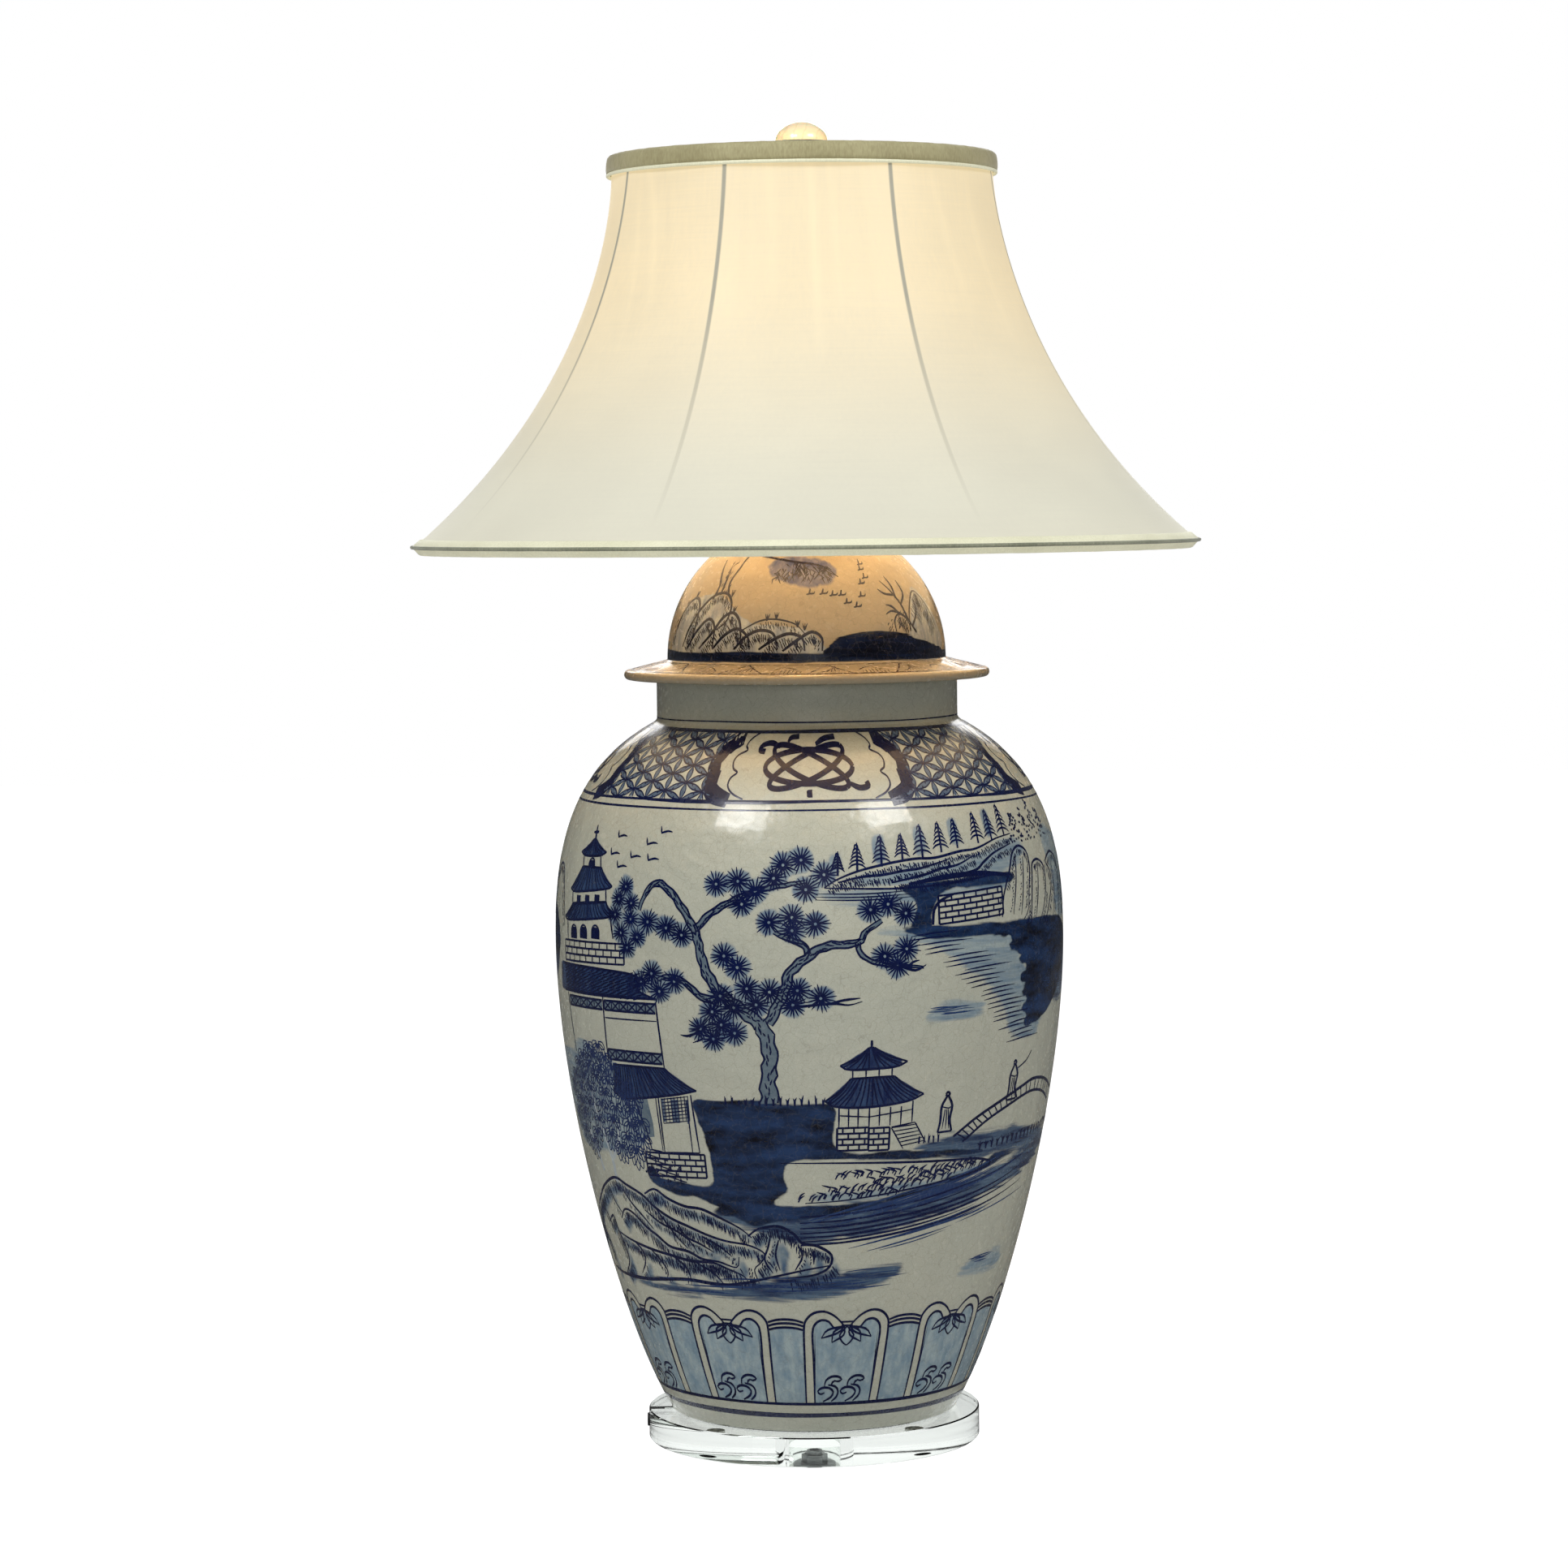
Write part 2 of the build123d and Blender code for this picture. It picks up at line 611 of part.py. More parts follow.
def bell_point(inset, share):
    """The point at a share of the way up the bell, moved inwards by an inset square to its wall."""
    bell = bell_outline()
    point = bell @ share
    up = bell % share
    return (point.X - inset * up.Y, point.Y + inset * up.X)


def bell_line(inset):
    """The bell's line moved inwards by an inset, from foot to top."""
    bell = bell_outline()
    points = [bell_point(inset, i / (PANEL_SECTIONS - 1)) for i in range(PANEL_SECTIONS)]
    return Spline(*points, tangents=(bell % 0, bell % 1))


def panel_section(inset, share):
    """One level cut through the bell: an arc from rib to rib, drawn in between them."""
    radius, height = bell_point(inset, share)
    sag = PANEL_SAG * max(0.0, math.sin(math.pi * share))
    ends = RIB_ANGLES[1:] + (RIB_ANGLES[0] + 360,)
    edges = []
    for start, end in zip(RIB_ANGLES, ends):
        points = [(radius, start), (radius - sag, (start + end) / 2), (radius, end)]
        edges.append(ThreePointArc(*[front_point(r, angle) for r, angle in points]))
    return Pos(0, 0, height) * make_face(Curve() + edges)


def front_point(radius, angle):
    """The plan position at an angle from the front, positive to the right."""
    turn = math.radians(angle)
    return (radius * math.sin(turn), -radius * math.cos(turn))


def panel_skin(inset, wall):
    """A thin skin of stretched panels, open at top and foot."""
    shares = [i / (PANEL_SECTIONS - 1) for i in range(PANEL_SECTIONS)]
    outside = loft([panel_section(inset, share) for share in shares])
    spill = 0.5 / PANEL_SECTIONS ** 2
    shares = [-spill] + shares[1:-1] + [1 + spill]
    return outside - loft([panel_section(inset + wall, share) for share in shares])


def rib_blank():
    """One frame rib, standing to the right of the middle."""
    outer = bell_line(WIRE_DEPTH - RIB_WIRE_R)
    inner = bell_line(WIRE_DEPTH + RIB_WIRE_R)
    outline = [outer, Line(outer @ 1, inner @ 1), inner, Line(inner @ 0, outer @ 0)]
    return extrude(Plane.XZ * make_face(Curve() + outline), RIB_WIRE_R, both=True)


def edge_place(top, depth, out):
    """A point in the shade's wall: so far in from its top or foot edge, and so far out of its face."""
    bell = bell_outline()
    run = bell.length - depth if top else depth
    within = min(max(run, 0), bell.length)
    point = bell.position_at(within, position_mode=PositionMode.LENGTH)
    up = bell.tangent_at(within, position_mode=PositionMode.LENGTH)
    beyond = run - within
    return (point.X + beyond * up.X + out * up.Y, point.Y + beyond * up.Y - out * up.X)


def ring_place(top):
    """The middle of the frame's ring wire at the top or foot."""
    return edge_place(top, FRAME_WIRE_R + LAYER_GAP, -WIRE_DEPTH)


def wire_ring(place, radius):
    """A ring of wire or piping cord round the shade, near enough to round."""
    return revolve(Plane.XZ * Pos(*place) * RegularPolygon(radius, WIRE_SIDES), Axis.Z)


def shade_frame():
    """The welded frame: a top ring, a foot ring and eight ribs."""
    rib = rib_blank()
    ribs = [Rot(0, 0, angle - 90) * rib for angle in RIB_ANGLES]
    return wire_ring(ring_place(False), FRAME_WIRE_R) + ribs + wire_ring(ring_place(True), FRAME_WIRE_R)


def spider_arms(radius):
    """Round arms from the hub out and up to the top ring wire."""
    ring_r, ring_z = ring_place(True)
    arm_z = HUB_Z + HUB_H / 2
    hub_start = (HUB_R + HUB_BORE_R) / 2
    bend = (ring_r - SPIDER_BEND, 0, arm_z)
    path = FilletPolyline((hub_start, 0, arm_z), bend, (ring_r, 0, ring_z), radius=SPIDER_BEND_R)
    arm = sweep(Pos(hub_start, 0, arm_z) * Rot(0, 90, 0) * Circle(radius), path=path)
    return [Rot(0, 0, 30 + 360 * i / SPIDER_ARMS) * arm for i in range(SPIDER_ARMS)]


def spider():
    """The washer on the stud, and the arms that carry the top ring."""
    return tube(HUB_R, HUB_BORE_R, HUB_H, HUB_Z) + spider_arms(HUB_H / 2)


def binding(top, outer_h, outer_wall, piping_r):
    """A binding folded over an edge of cover, wire and lining, with a piping round its outside."""
    near = LAYER_GAP
    far = LAYER_GAP + outer_wall
    deep = BINDING_DEPTH + BINDING_INNER_WALL
    channel = turned_corners(
        edge_place(top, outer_h, near),
        edge_place(top, outer_h, far),
        edge_place(top, -far, far),
        edge_place(top, -far, -deep),
        edge_place(top, BINDING_INNER_H, -deep),
        edge_place(top, BINDING_INNER_H, -BINDING_DEPTH),
        edge_place(top, -near, -BINDING_DEPTH),
        edge_place(top, -near, near),
    )
    place = edge_place(top, outer_h if top else 0, 1.5 * near + piping_r)
    return channel + wire_ring(place, piping_r)


def top_binding():
    """The thick rolled binding at the top, its outer edges rounded over."""
    band = binding(True, TOP_BINDING_H, TOP_BINDING_WALL, TOP_PIPING_R)
    top_edges = band.edges().filter_by(GeomType.CIRCLE).group_by(Axis.Z)[-1]
    band = fillet(top_edges.sort_by(SortBy.RADIUS)[-1], TOP_BINDING_WALL * 0.9)
    return band - spider_arms(HUB_H / 2 + LAYER_GAP)


def cover():
    """The outer silk, sewn to the ribs."""
    return panel_skin(0, COVER_WALL)


def lining():
    """The inner silk, slit for the spider's arms."""
    return panel_skin(LINING_DEPTH, LINING_WALL) - spider_arms(HUB_H / 2 + LAYER_GAP)


def foot_binding():
    """The flat tape at the foot, with a piped edge."""
    return binding(False, FOOT_BINDING_H, FOOT_BINDING_WALL, FOOT_PIPING_R)


# ---- Finial

def finial_foot():
    """The metal foot, bored and tapped for the stud."""
    slope_r = FINIAL_DISC_R - FINIAL_DISC_SLOPE
    foot = turned_corners(
        (0, FINIAL_Z),
        (FINIAL_STEM_R, FINIAL_Z),
        (FINIAL_STEM_R, FINIAL_DISC_Z),
        (FINIAL_DISC_R, FINIAL_DISC_Z),
        (FINIAL_DISC_R, FINIAL_DISC_Z + FINIAL_DISC_H / 2),
        (slope_r, FINIAL_BALL_Z),
        (0, FINIAL_BALL_Z),
    )
    return foot - rod(STUD_R + SEAT_GAP, FINIAL_BORE_H, FINIAL_Z)


def finial_ball():
    """The polished stone ball, cut flat to sit on the foot."""
    side = (FINIAL_BALL_R, 0)
    top = (0, FINIAL_BALL_H)
    side_pull = (FINIAL_BALL_R, FINIAL_BALL_H * ROUND_PULL)
    top_pull = (FINIAL_BALL_R * ROUND_PULL, FINIAL_BALL_H)
    outline = [Line((0, 0), side), Bezier(side, side_pull, top_pull, top), Line(top, (0, 0))]
    return Pos(0, 0, FINIAL_BALL_Z) * turned(*outline)


NODES = {
    "base_bumpers": bumpers,
    "acrylic_base": plinth,
    "cord_bushing": cord_bushing,
    "base_washer": lambda: tube(WASHER_R, LID_HOLE_R, WASHER_H, NUT_Z + NUT_H),
    "base_nut": lambda: hex_nut(NUT_H, NUT_Z),
    "foot_gasket": gasket,
    "lamp_pipe": pipe,
    "jar_body": jar,
    "lid": lid,
    "vase_cap": vase_cap,
    "cap_locknut": lambda: hex_nut(LOCKNUT_H, LOCKNUT_Z),
    "harp_saddle": saddle,
    "socket_cap": socket_cap,
    "socket_shell": socket_shell,
    "socket_sleeve": socket_sleeve,
    "socket_block": socket_block,
    "terminal_screws": terminal_screws,
    "screw_shell": screw_shell,
    "centre_contact": centre_contact,
    "switch_shaft": switch_shaft,
    "switch_knob": switch_knob,
    "bulb_glass": bulb_glass,
    "bulb_cap": bulb_cap,
    "bulb_tip": bulb_tip,
    "harp_bow": harp,
    "harp_ferrule_left": lambda: ferrule(-1),
    "harp_ferrule_right": lambda: ferrule(1),
    "harp_stud": stud,
    "shade_spider": spider,
    "shade_frame": shade_frame,
    "shade_cover": cover,
    "shade_lining": lining,
    "shade_top_binding": top_binding,
    "shade_foot_binding": foot_binding,
    "finial_foot": finial_foot,
    "finial_ball": finial_ball,
}

os.makedirs("parts", exist_ok=True)
for node, make in NODES.items():
    shape = make()
    if isinstance(shape, list):
        shape = Compound(children=shape)
    export_step(shape, f"parts/{node}.step")
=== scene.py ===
"""Ginger jar lamp: a blue and white covered jar on a clear plinth, under a lit bell shade. Metres, +Z up."""
import math

import bmesh
import bpy
import numpy as np
from mathutils import Matrix, Vector


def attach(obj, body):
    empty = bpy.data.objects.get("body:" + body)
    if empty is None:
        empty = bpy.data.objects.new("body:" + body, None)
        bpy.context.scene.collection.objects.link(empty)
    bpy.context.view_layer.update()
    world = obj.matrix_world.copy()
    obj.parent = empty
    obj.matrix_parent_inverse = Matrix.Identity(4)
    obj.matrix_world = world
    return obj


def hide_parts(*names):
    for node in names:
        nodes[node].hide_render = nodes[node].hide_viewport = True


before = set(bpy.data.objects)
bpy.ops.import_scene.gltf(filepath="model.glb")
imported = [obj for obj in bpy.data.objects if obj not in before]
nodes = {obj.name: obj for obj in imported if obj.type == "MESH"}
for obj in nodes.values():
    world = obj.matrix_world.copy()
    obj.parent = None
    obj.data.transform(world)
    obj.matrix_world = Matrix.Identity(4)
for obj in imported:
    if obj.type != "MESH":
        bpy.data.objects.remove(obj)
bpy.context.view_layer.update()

# ---- Studio
# The lamp stands on a white floor between two soft boxes that hang in front of it, left and right.
# The camera is 2.9 m away, a little above the jar, and tilted by half a degree.
camera_data = bpy.data.cameras.new("camera")
camera_data.sensor_width = 36.0
camera_data.lens = 102.7
camera = bpy.data.objects.new("camera", camera_data)
bpy.context.scene.collection.objects.link(camera)
camera_place = (-0.0155, -2.9, 0.615)
camera_pitch = math.radians(90 - 3.695)
camera_roll = math.radians(-0.6)
camera.matrix_world = (
    Matrix.Translation(camera_place)
    @ Matrix.Rotation(camera_pitch, 4, "X")
    @ Matrix.Rotation(camera_roll, 4, "Z")
)
bpy.context.scene.camera = camera
bpy.context.scene.view_settings.view_transform = "Standard"


def soft_box(name, place, aim, width, height, power):
    """A rectangular area light turned towards a point."""
    data = bpy.data.lights.new(name, "AREA")
    data.shape = "RECTANGLE"
    data.size = width
    data.size_y = height
    data.energy = power
    lamp = bpy.data.objects.new(name, data)
    lamp.location = place
    lamp.rotation_euler = (Vector(aim) - Vector(place)).to_track_quat("-Z", "Y").to_euler()
    bpy.context.scene.collection.objects.link(lamp)


belly_middle = (0, 0, 0.42)
jar_middle = (0, 0, 0.4)
soft_box("soft_box_left", (-0.95, -1.24, 1.82), belly_middle, 0.75, 0.55, 23)
soft_box("soft_box_right", (1.07, -1.12, 1.83), belly_middle, 0.75, 0.55, 20)
soft_box("front_fill", (0.1, -3.4, 1.0), jar_middle, 1.6, 1.2, 4)
soft_box("back_fill", (0.0, 2.6, 1.6), jar_middle, 1.8, 1.4, 24)


def node(tree, kind, inputs=None, **settings):
    """A shader node with its settings and its inputs, which are sockets to link or plain values."""
    made = tree.nodes.new("ShaderNode" + kind)
    for setting, value in settings.items():
        setattr(made, setting, value)
    for socket, value in (inputs or {}).items():
        if isinstance(value, bpy.types.NodeSocket):
            tree.links.new(value, made.inputs[socket])
        else:
            made.inputs[socket].default_value = value
    return made


def white_for_lens(tree):
    """1 for rays that reach the camera straight or through clear plastic, which see plain white."""
    ray = node(tree, "LightPath").outputs
    seen = {0: ray["Is Camera Ray"], 1: ray["Is Transmission Ray"]}
    return node(tree, "Math", seen, operation="MAXIMUM").outputs[0]


world = bpy.data.worlds.new("studio")
bpy.context.scene.world = world
world.use_nodes = True
sky = world.node_tree
room_light = 0.16
mirror_light = 0.07                     # what the dark room shows in the glaze between its lamps
mirrored = node(sky, "LightPath").outputs["Is Glossy Ray"]
unseen = node(sky, "Mix", {"Factor": mirrored, 2: room_light, 3: mirror_light}, data_type="FLOAT")
sky_level = node(sky, "Mix", {"Factor": white_for_lens(sky), 2: unseen.outputs[0], 3: 1.0}, data_type="FLOAT")
sky.nodes["Background"].inputs["Color"].default_value = (1, 1, 1, 1)
sky.links.new(sky_level.outputs[0], sky.nodes["Background"].inputs["Strength"])

floor_shape = bmesh.new()
bmesh.ops.create_circle(floor_shape, cap_ends=True, segments=64, radius=7.0)
floor_mesh = bpy.data.meshes.new("floor")
floor_shape.to_mesh(floor_mesh)
floor_shape.free()
floor = bpy.data.objects.new("floor", floor_mesh)
bpy.context.scene.collection.objects.link(floor)
floor_finish = bpy.data.materials.new("floor_paper")
floor_finish.use_nodes = True
paper = floor_finish.node_tree
paper.nodes["Principled BSDF"].inputs["Roughness"].default_value = 0.9
paper.nodes["Principled BSDF"].inputs["Specular IOR Level"].default_value = 0.1
paper_glow = node(paper, "Emission", {"Color": (1, 1, 1, 1), "Strength": 1.3})
paper_share = node(paper, "Math", {0: white_for_lens(paper), 1: 0.86}, operation="MULTIPLY")
paper_tone = node(
    paper, "Mix",
    {0: node(paper, "LightPath").outputs["Is Glossy Ray"], 6: (0.86, 0.86, 0.86, 1),
     7: (0.16, 0.16, 0.16, 1)},
    data_type="RGBA",
)
paper.links.new(paper_tone.outputs[2], paper.nodes["Principled BSDF"].inputs["Base Color"])
paper_mix = node(
    paper, "MixShader",
    {0: paper_share.outputs[0], 1: paper.nodes["Principled BSDF"].outputs[0], 2: paper_glow.outputs[0]},
)
paper.links.new(paper_mix.outputs[0], paper.nodes["Material Output"].inputs["Surface"])
floor_mesh.materials.append(floor_finish)

# ---- Plinth
# A disc of clear cast acrylic, turned and flame polished, on four clear bumpers, with the pipe's nut in
# a counterbore below. A black bushing lines the cord's hole and a thin clear ring keeps the jar off it.


def finish(name, **sockets):
    """A new material with plain values on its shader's own sockets: the material, its nodes, the shader."""
    material = bpy.data.materials.new(name)
    material.use_nodes = True
    shader = material.node_tree.nodes["Principled BSDF"]
    for socket, value in sockets.items():
        shader.inputs[socket.replace("_", " ")].default_value = value
    return material, material.node_tree, shader


def colour(red, green, blue):
    """An sRGB colour, 0 to 255, as the linear colour that a socket takes."""
    return tuple((level / 255) ** 2.2 for level in (red, green, blue)) + (1.0,)


def node_group(name, takes, gives):
    """A node group with named sockets: its nodes, what it is given and what it puts out."""
    group = bpy.data.node_groups.new(name, "ShaderNodeTree")
    for side, sockets in (("INPUT", takes), ("OUTPUT", gives)):
        for label, kind, *value in sockets:
            socket = group.interface.new_socket(label, in_out=side, socket_type="NodeSocket" + kind)
            if value:
                socket.default_value = value[0]
    return group, group.nodes.new("NodeGroupInput").outputs, group.nodes.new("NodeGroupOutput").inputs


def links(tree, *pairs):
    """Joins each pair of sockets."""
    for source, target in pairs:
        tree.links.new(source, target)


def mix(tree, share, first, second, **settings):
    """A blend of two colours."""
    return node(tree, "Mix", {0: share, 6: first, 7: second}, data_type="RGBA", **settings).outputs[2]


def spread(tree, value, low, high, least, most, **settings):
    """A value's span stretched to another span."""
    limits = {"Value": value, "From Min": low, "From Max": high, "To Min": least, "To Max": most}
    return node(tree, "MapRange", limits, **settings).outputs[0]


def noise(tree, place, scale, detail, **inputs):
    """Soft noise over a place."""
    return node(
        tree, "TexNoise", {"Vector": place, "Scale": scale, "Detail": detail, **inputs},
    ).outputs["Fac"]


SURFACE = (("Colour", "Color"), ("Roughness", "Float"), ("Normal", "Vector"))


def worked_surface():
    """Node group: a colour that drifts to a deeper one, uneven gloss and a fine grain in the normal."""
    group, given, put = node_group("worked_surface", (
        ("Colour", "Color", (0.5, 0.5, 0.5, 1)), ("Deep Colour", "Color", (0.4, 0.4, 0.4, 1)),
        ("Scale", "Float", 40.0), ("Least Roughness", "Float", 0.3), ("Most Roughness", "Float", 0.5),
        ("Grain", "Float", 0.1), ("Grain Scale", "Float", 900.0),
    ), SURFACE)
    place = node(group, "TexCoord").outputs["Object"]
    drift = noise(group, place, given["Scale"], 5.0)
    smear = noise(group, place, 170.0, 4.0, Distortion=1.0)
    gloss = spread(group, smear, 0.3, 0.7, given["Least Roughness"], given["Most Roughness"])
    grain = noise(group, place, given["Grain Scale"], 3.0)
    bump = node(group, "Bump", {"Strength": given["Grain"], "Distance": 0.0004, "Height": grain})
    links(
        group, (mix(group, drift, given["Colour"], given["Deep Colour"]), put["Colour"]),
        (gloss, put["Roughness"]), (bump.outputs[0], put["Normal"]),
    )
    return group


worked = worked_surface()


def fed(tree, shader, group, values):
    """Places a node group with its own values and feeds the shader's colour, gloss and normal from it."""
    out = node(tree, "Group", values, node_tree=group).outputs
    links(
        tree, (out["Colour"], shader.inputs["Base Color"]), (out["Roughness"], shader.inputs["Roughness"]),
        (out["Normal"], shader.inputs["Normal"]),
    )
    return out


def surfaced(name, tint, deep, scale, rough, grain, grain_scale=900.0, **sockets):
    """A material whose colour, gloss and grain come from the worked surface group."""
    material, tree, shader = finish(name, **sockets)
    fed(tree, shader, worked, {
        "Colour": tint, "Deep Colour": deep, "Scale": scale, "Least Roughness": rough[0],
        "Most Roughness": rough[1], "Grain": grain, "Grain Scale": grain_scale,
    })
    return material


def dress(material, *names):
    """Gives CAD nodes their finish."""
    for name in names:
        mesh = nodes[name].data
        mesh.materials.clear()
        mesh.materials.append(material)


acrylic = surfaced(
    "cast_acrylic", colour(246, 250, 247), colour(238, 244, 240), 9.0, (0.01, 0.05), 0.02, 60.0,
    Transmission_Weight=1.0, IOR=1.49,
)
dress(acrylic, "acrylic_base")
clear_rubber = surfaced(
    "clear_rubber", colour(226, 230, 226), colour(205, 210, 205), 60.0, (0.18, 0.35), 0.1,
    Transmission_Weight=0.85, IOR=1.45,
)
dress(clear_rubber, "base_bumpers", "foot_gasket")
black_plastic = surfaced("black_nylon", colour(22, 22, 24), colour(34, 34, 36), 120.0, (0.35, 0.55), 0.3)
dress(black_plastic, "cord_bushing")
zinc = surfaced(
    "zinc_plate", colour(150, 152, 154), colour(110, 112, 112), 90.0, (0.28, 0.5), 0.25, Metallic=1.0,
)
dress(zinc, "lamp_pipe", "base_washer", "base_nut")

# ---- Jar
# A thrown and trimmed porcelain jar, painted in cobalt under a clear grey-green glaze that has crackled.
# The broad washes are part of its skin; every drawn line is laid over them as a stroke of its own.
MM = 0.001
BELLY_R = 165.0
FOOT_Z = 24.0
NECK_Z = 468.5
RIM_Z = 497.0
NECK_R = 97.4
WALL = 6.0
DEGREE = BELLY_R * math.pi / 180      # one degree round the belly, in millimetres


def bezier(start, lean, pull, end, end_lean, end_pull, count):
    """Points on the curve between two places, with handles that lean so many degrees from upright."""
    def handle(point, angle, length):
        turn = math.radians(angle)
        return (point[0] + length * math.sin(turn), point[1] + length * math.cos(turn))
    controls = np.array([start, handle(start, lean, pull), handle(end, end_lean, -end_pull), end])
    share = np.linspace(0, 1, count)[:, None]
    rest = 1 - share
    weights = np.hstack([rest ** 3, 3 * rest ** 2 * share, 3 * rest * share ** 2, share ** 3])
    return weights @ controls


def jar_side(inset, low_count, high_count):
    """The jar's outline from its foot to its neck, moved in by an inset."""
    low = bezier(
        (93.9 - inset * 0.84, FOOT_Z + inset * 0.54), 32.4, 51.0, (BELLY_R - inset, 330.0), 0, 109.3,
        low_count,
    )
    high = bezier(
        (BELLY_R - inset, 330.0), 0, 58.6, (100.5 - inset * 0.48, NECK_Z - inset * 0.88), -61.3, 61.7,
        high_count,
    )
    return [tuple(point) for point in low] + [tuple(point) for point in high[1:]]


def spun(name, outline, steps):
    """A closed outline of (radius, height) points in millimetres, spun into a smooth closed solid."""
    shape = bmesh.new()
    ring = [shape.verts.new((radius * MM, 0, height * MM)) for radius, height in outline]
    edges = [shape.edges.new(pair) for pair in zip(ring, ring[1:] + ring[:1])]
    bmesh.ops.spin(
        shape, geom=ring + edges, axis=(0, 0, 1), cent=(0, 0, 0), angle=2 * math.pi, steps=steps,
        use_merge=True,
    )
    bmesh.ops.remove_doubles(shape, verts=shape.verts, dist=1e-6)
    bmesh.ops.recalc_face_normals(shape, faces=shape.faces)
    return settled(name, shape)


def settled(name, shape):
    """Turns a bmesh into a smooth object of the scene."""
    mesh = bpy.data.meshes.new(name)
    shape.to_mesh(mesh)
    shape.free()
    mesh.polygons.foreach_set("use_smooth", [True] * len(mesh.polygons))
    made = bpy.data.objects.new(name, mesh)
    bpy.context.scene.collection.objects.link(made)
    return made


def places(piece):
    """The vertices of a piece as an array, in millimetres."""
    spots = np.zeros(len(piece.data.vertices) * 3, np.float32)
    piece.data.vertices.foreach_get("co", spots)
    return spots.reshape(-1, 3) / MM


def add_mask(piece, name, values):
    """Stores one number for each vertex, for the finish to read."""
    layer = piece.data.attributes.new(name, "FLOAT", "POINT")
    layer.data.foreach_set("value", np.asarray(values, np.float32))


def flow(points, step=3.0, closed=False):
    """A smooth line through a few given points, in short steps."""
    given = np.array(points, float)
    if closed:
        given = np.vstack([given, given[:1]])
        around = np.vstack([given[-2], given, given[1]])
    else:
        around = np.vstack([2 * given[0] - given[1], given, 2 * given[-1] - given[-2]])
    line = []
    for before, start, end, after in zip(around, around[1:], around[2:], around[3:]):
        count = max(1, int(np.ceil(np.linalg.norm(end - start) / step)))
        share = np.arange(count)[:, None] / count
        bend = 2 * before - 5 * start + 4 * end - after
        twist = 3 * start - before - 3 * end + after
        line.append(0.5 * (2 * start + (end - before) * share + bend * share ** 2 + twist * share ** 3))
    if not closed:
        line.append(given[-1:])
    return np.vstack(line)


def unrolled(points, turn, degree):
    """Given (degrees, height) points as millimetres on the unrolled skin, moved round by a turn."""
    return np.array([((angle + turn) * degree, height) for angle, height in points], float)


FAR_OUT = -12.0        # the depth that stands for bare glaze, well away from any wash


def depth_inside(skin, outline, degree):
    """How deep each point of the unrolled skin lies in a closed outline, negative outside it."""
    whole_turn = 360 * degree
    centre = (outline[:, 0].min() + outline[:, 0].max()) / 2
    across = (skin[:, 0] - centre + whole_turn / 2) % whole_turn - whole_turn / 2 + centre
    depth = np.full(len(skin), FAR_OUT)
    margin = -FAR_OUT
    near = (
        (across > outline[:, 0].min() - margin) & (across < outline[:, 0].max() + margin)
        & (skin[:, 1] > outline[:, 1].min() - margin) & (skin[:, 1] < outline[:, 1].max() + margin)
    )
    spots = np.stack([across[near], skin[near, 1]], axis=1)
    start = outline
    end = np.roll(outline, -1, axis=0)
    side = end - start
    to_spot = spots[:, None] - start
    along = np.clip((to_spot * side).sum(-1) / np.maximum((side ** 2).sum(-1), 1e-9), 0, 1)
    gap = np.linalg.norm(to_spot - along[..., None] * side, axis=-1).min(1)
    spans = (start[:, 1] > spots[:, 1:2]) != (end[:, 1] > spots[:, 1:2])
    rise = np.where(np.abs(side[:, 1]) < 1e-9, 1e-9, side[:, 1])
    hits = spans & (spots[:, 0:1] < side[:, 0] * (spots[:, 1:2] - start[:, 1]) / rise + start[:, 0])
    inside = hits.sum(1) % 2 == 1
    depth[near] = np.clip(np.where(inside, gap, -gap), FAR_OUT, margin)
    return depth


def wash_depth(skin, outlines, turns, smooth=True, degree=DEGREE):
    """The depth inside the nearest of many washes, each repeated at the given turns."""
    depth = np.full(len(skin), FAR_OUT)
    for outline in outlines:
        for turn in turns:
            edge = unrolled(outline, turn, degree)
            edge = flow(edge, 6.0, closed=True) if smooth else edge
            depth = np.maximum(depth, depth_inside(skin, edge, degree))
    return depth


def disc(angle, height, radius, squash):
    """A round wash as a few points."""
    return [
        (angle + radius / DEGREE * math.cos(turn), height + squash * radius * math.sin(turn))
        for turn in np.linspace(0, 2 * math.pi, 10, endpoint=False)
    ]


# The scene goes round the jar twice, so every wash and stroke of it is painted at two turns.
SCENE_TURNS = (0, 180)
LAPPET_COUNT = 10
LAPPET_START = 9.6
LAPPET_TURNS = [LAPPET_START + 360 / LAPPET_COUNT * count for count in range(LAPPET_COUNT)]

lappet_ground = [
    (-9.7, 42), (-9.9, 70), (-10.1, 90), (-9.2, 96.5), (-7.4, 98.8), (-5.2, 97.6), (-3.6, 93.6), (0, 95.5),
    (3.6, 93.6), (5.2, 97.6), (7.4, 98.8), (9.2, 96.5), (10.1, 90), (9.9, 70), (9.7, 42),
]
panel_ground = [(12.7, 42), (12.9, 92), (15, 93.4), (18, 94), (21, 93.4), (23.1, 92), (23.3, 42)]

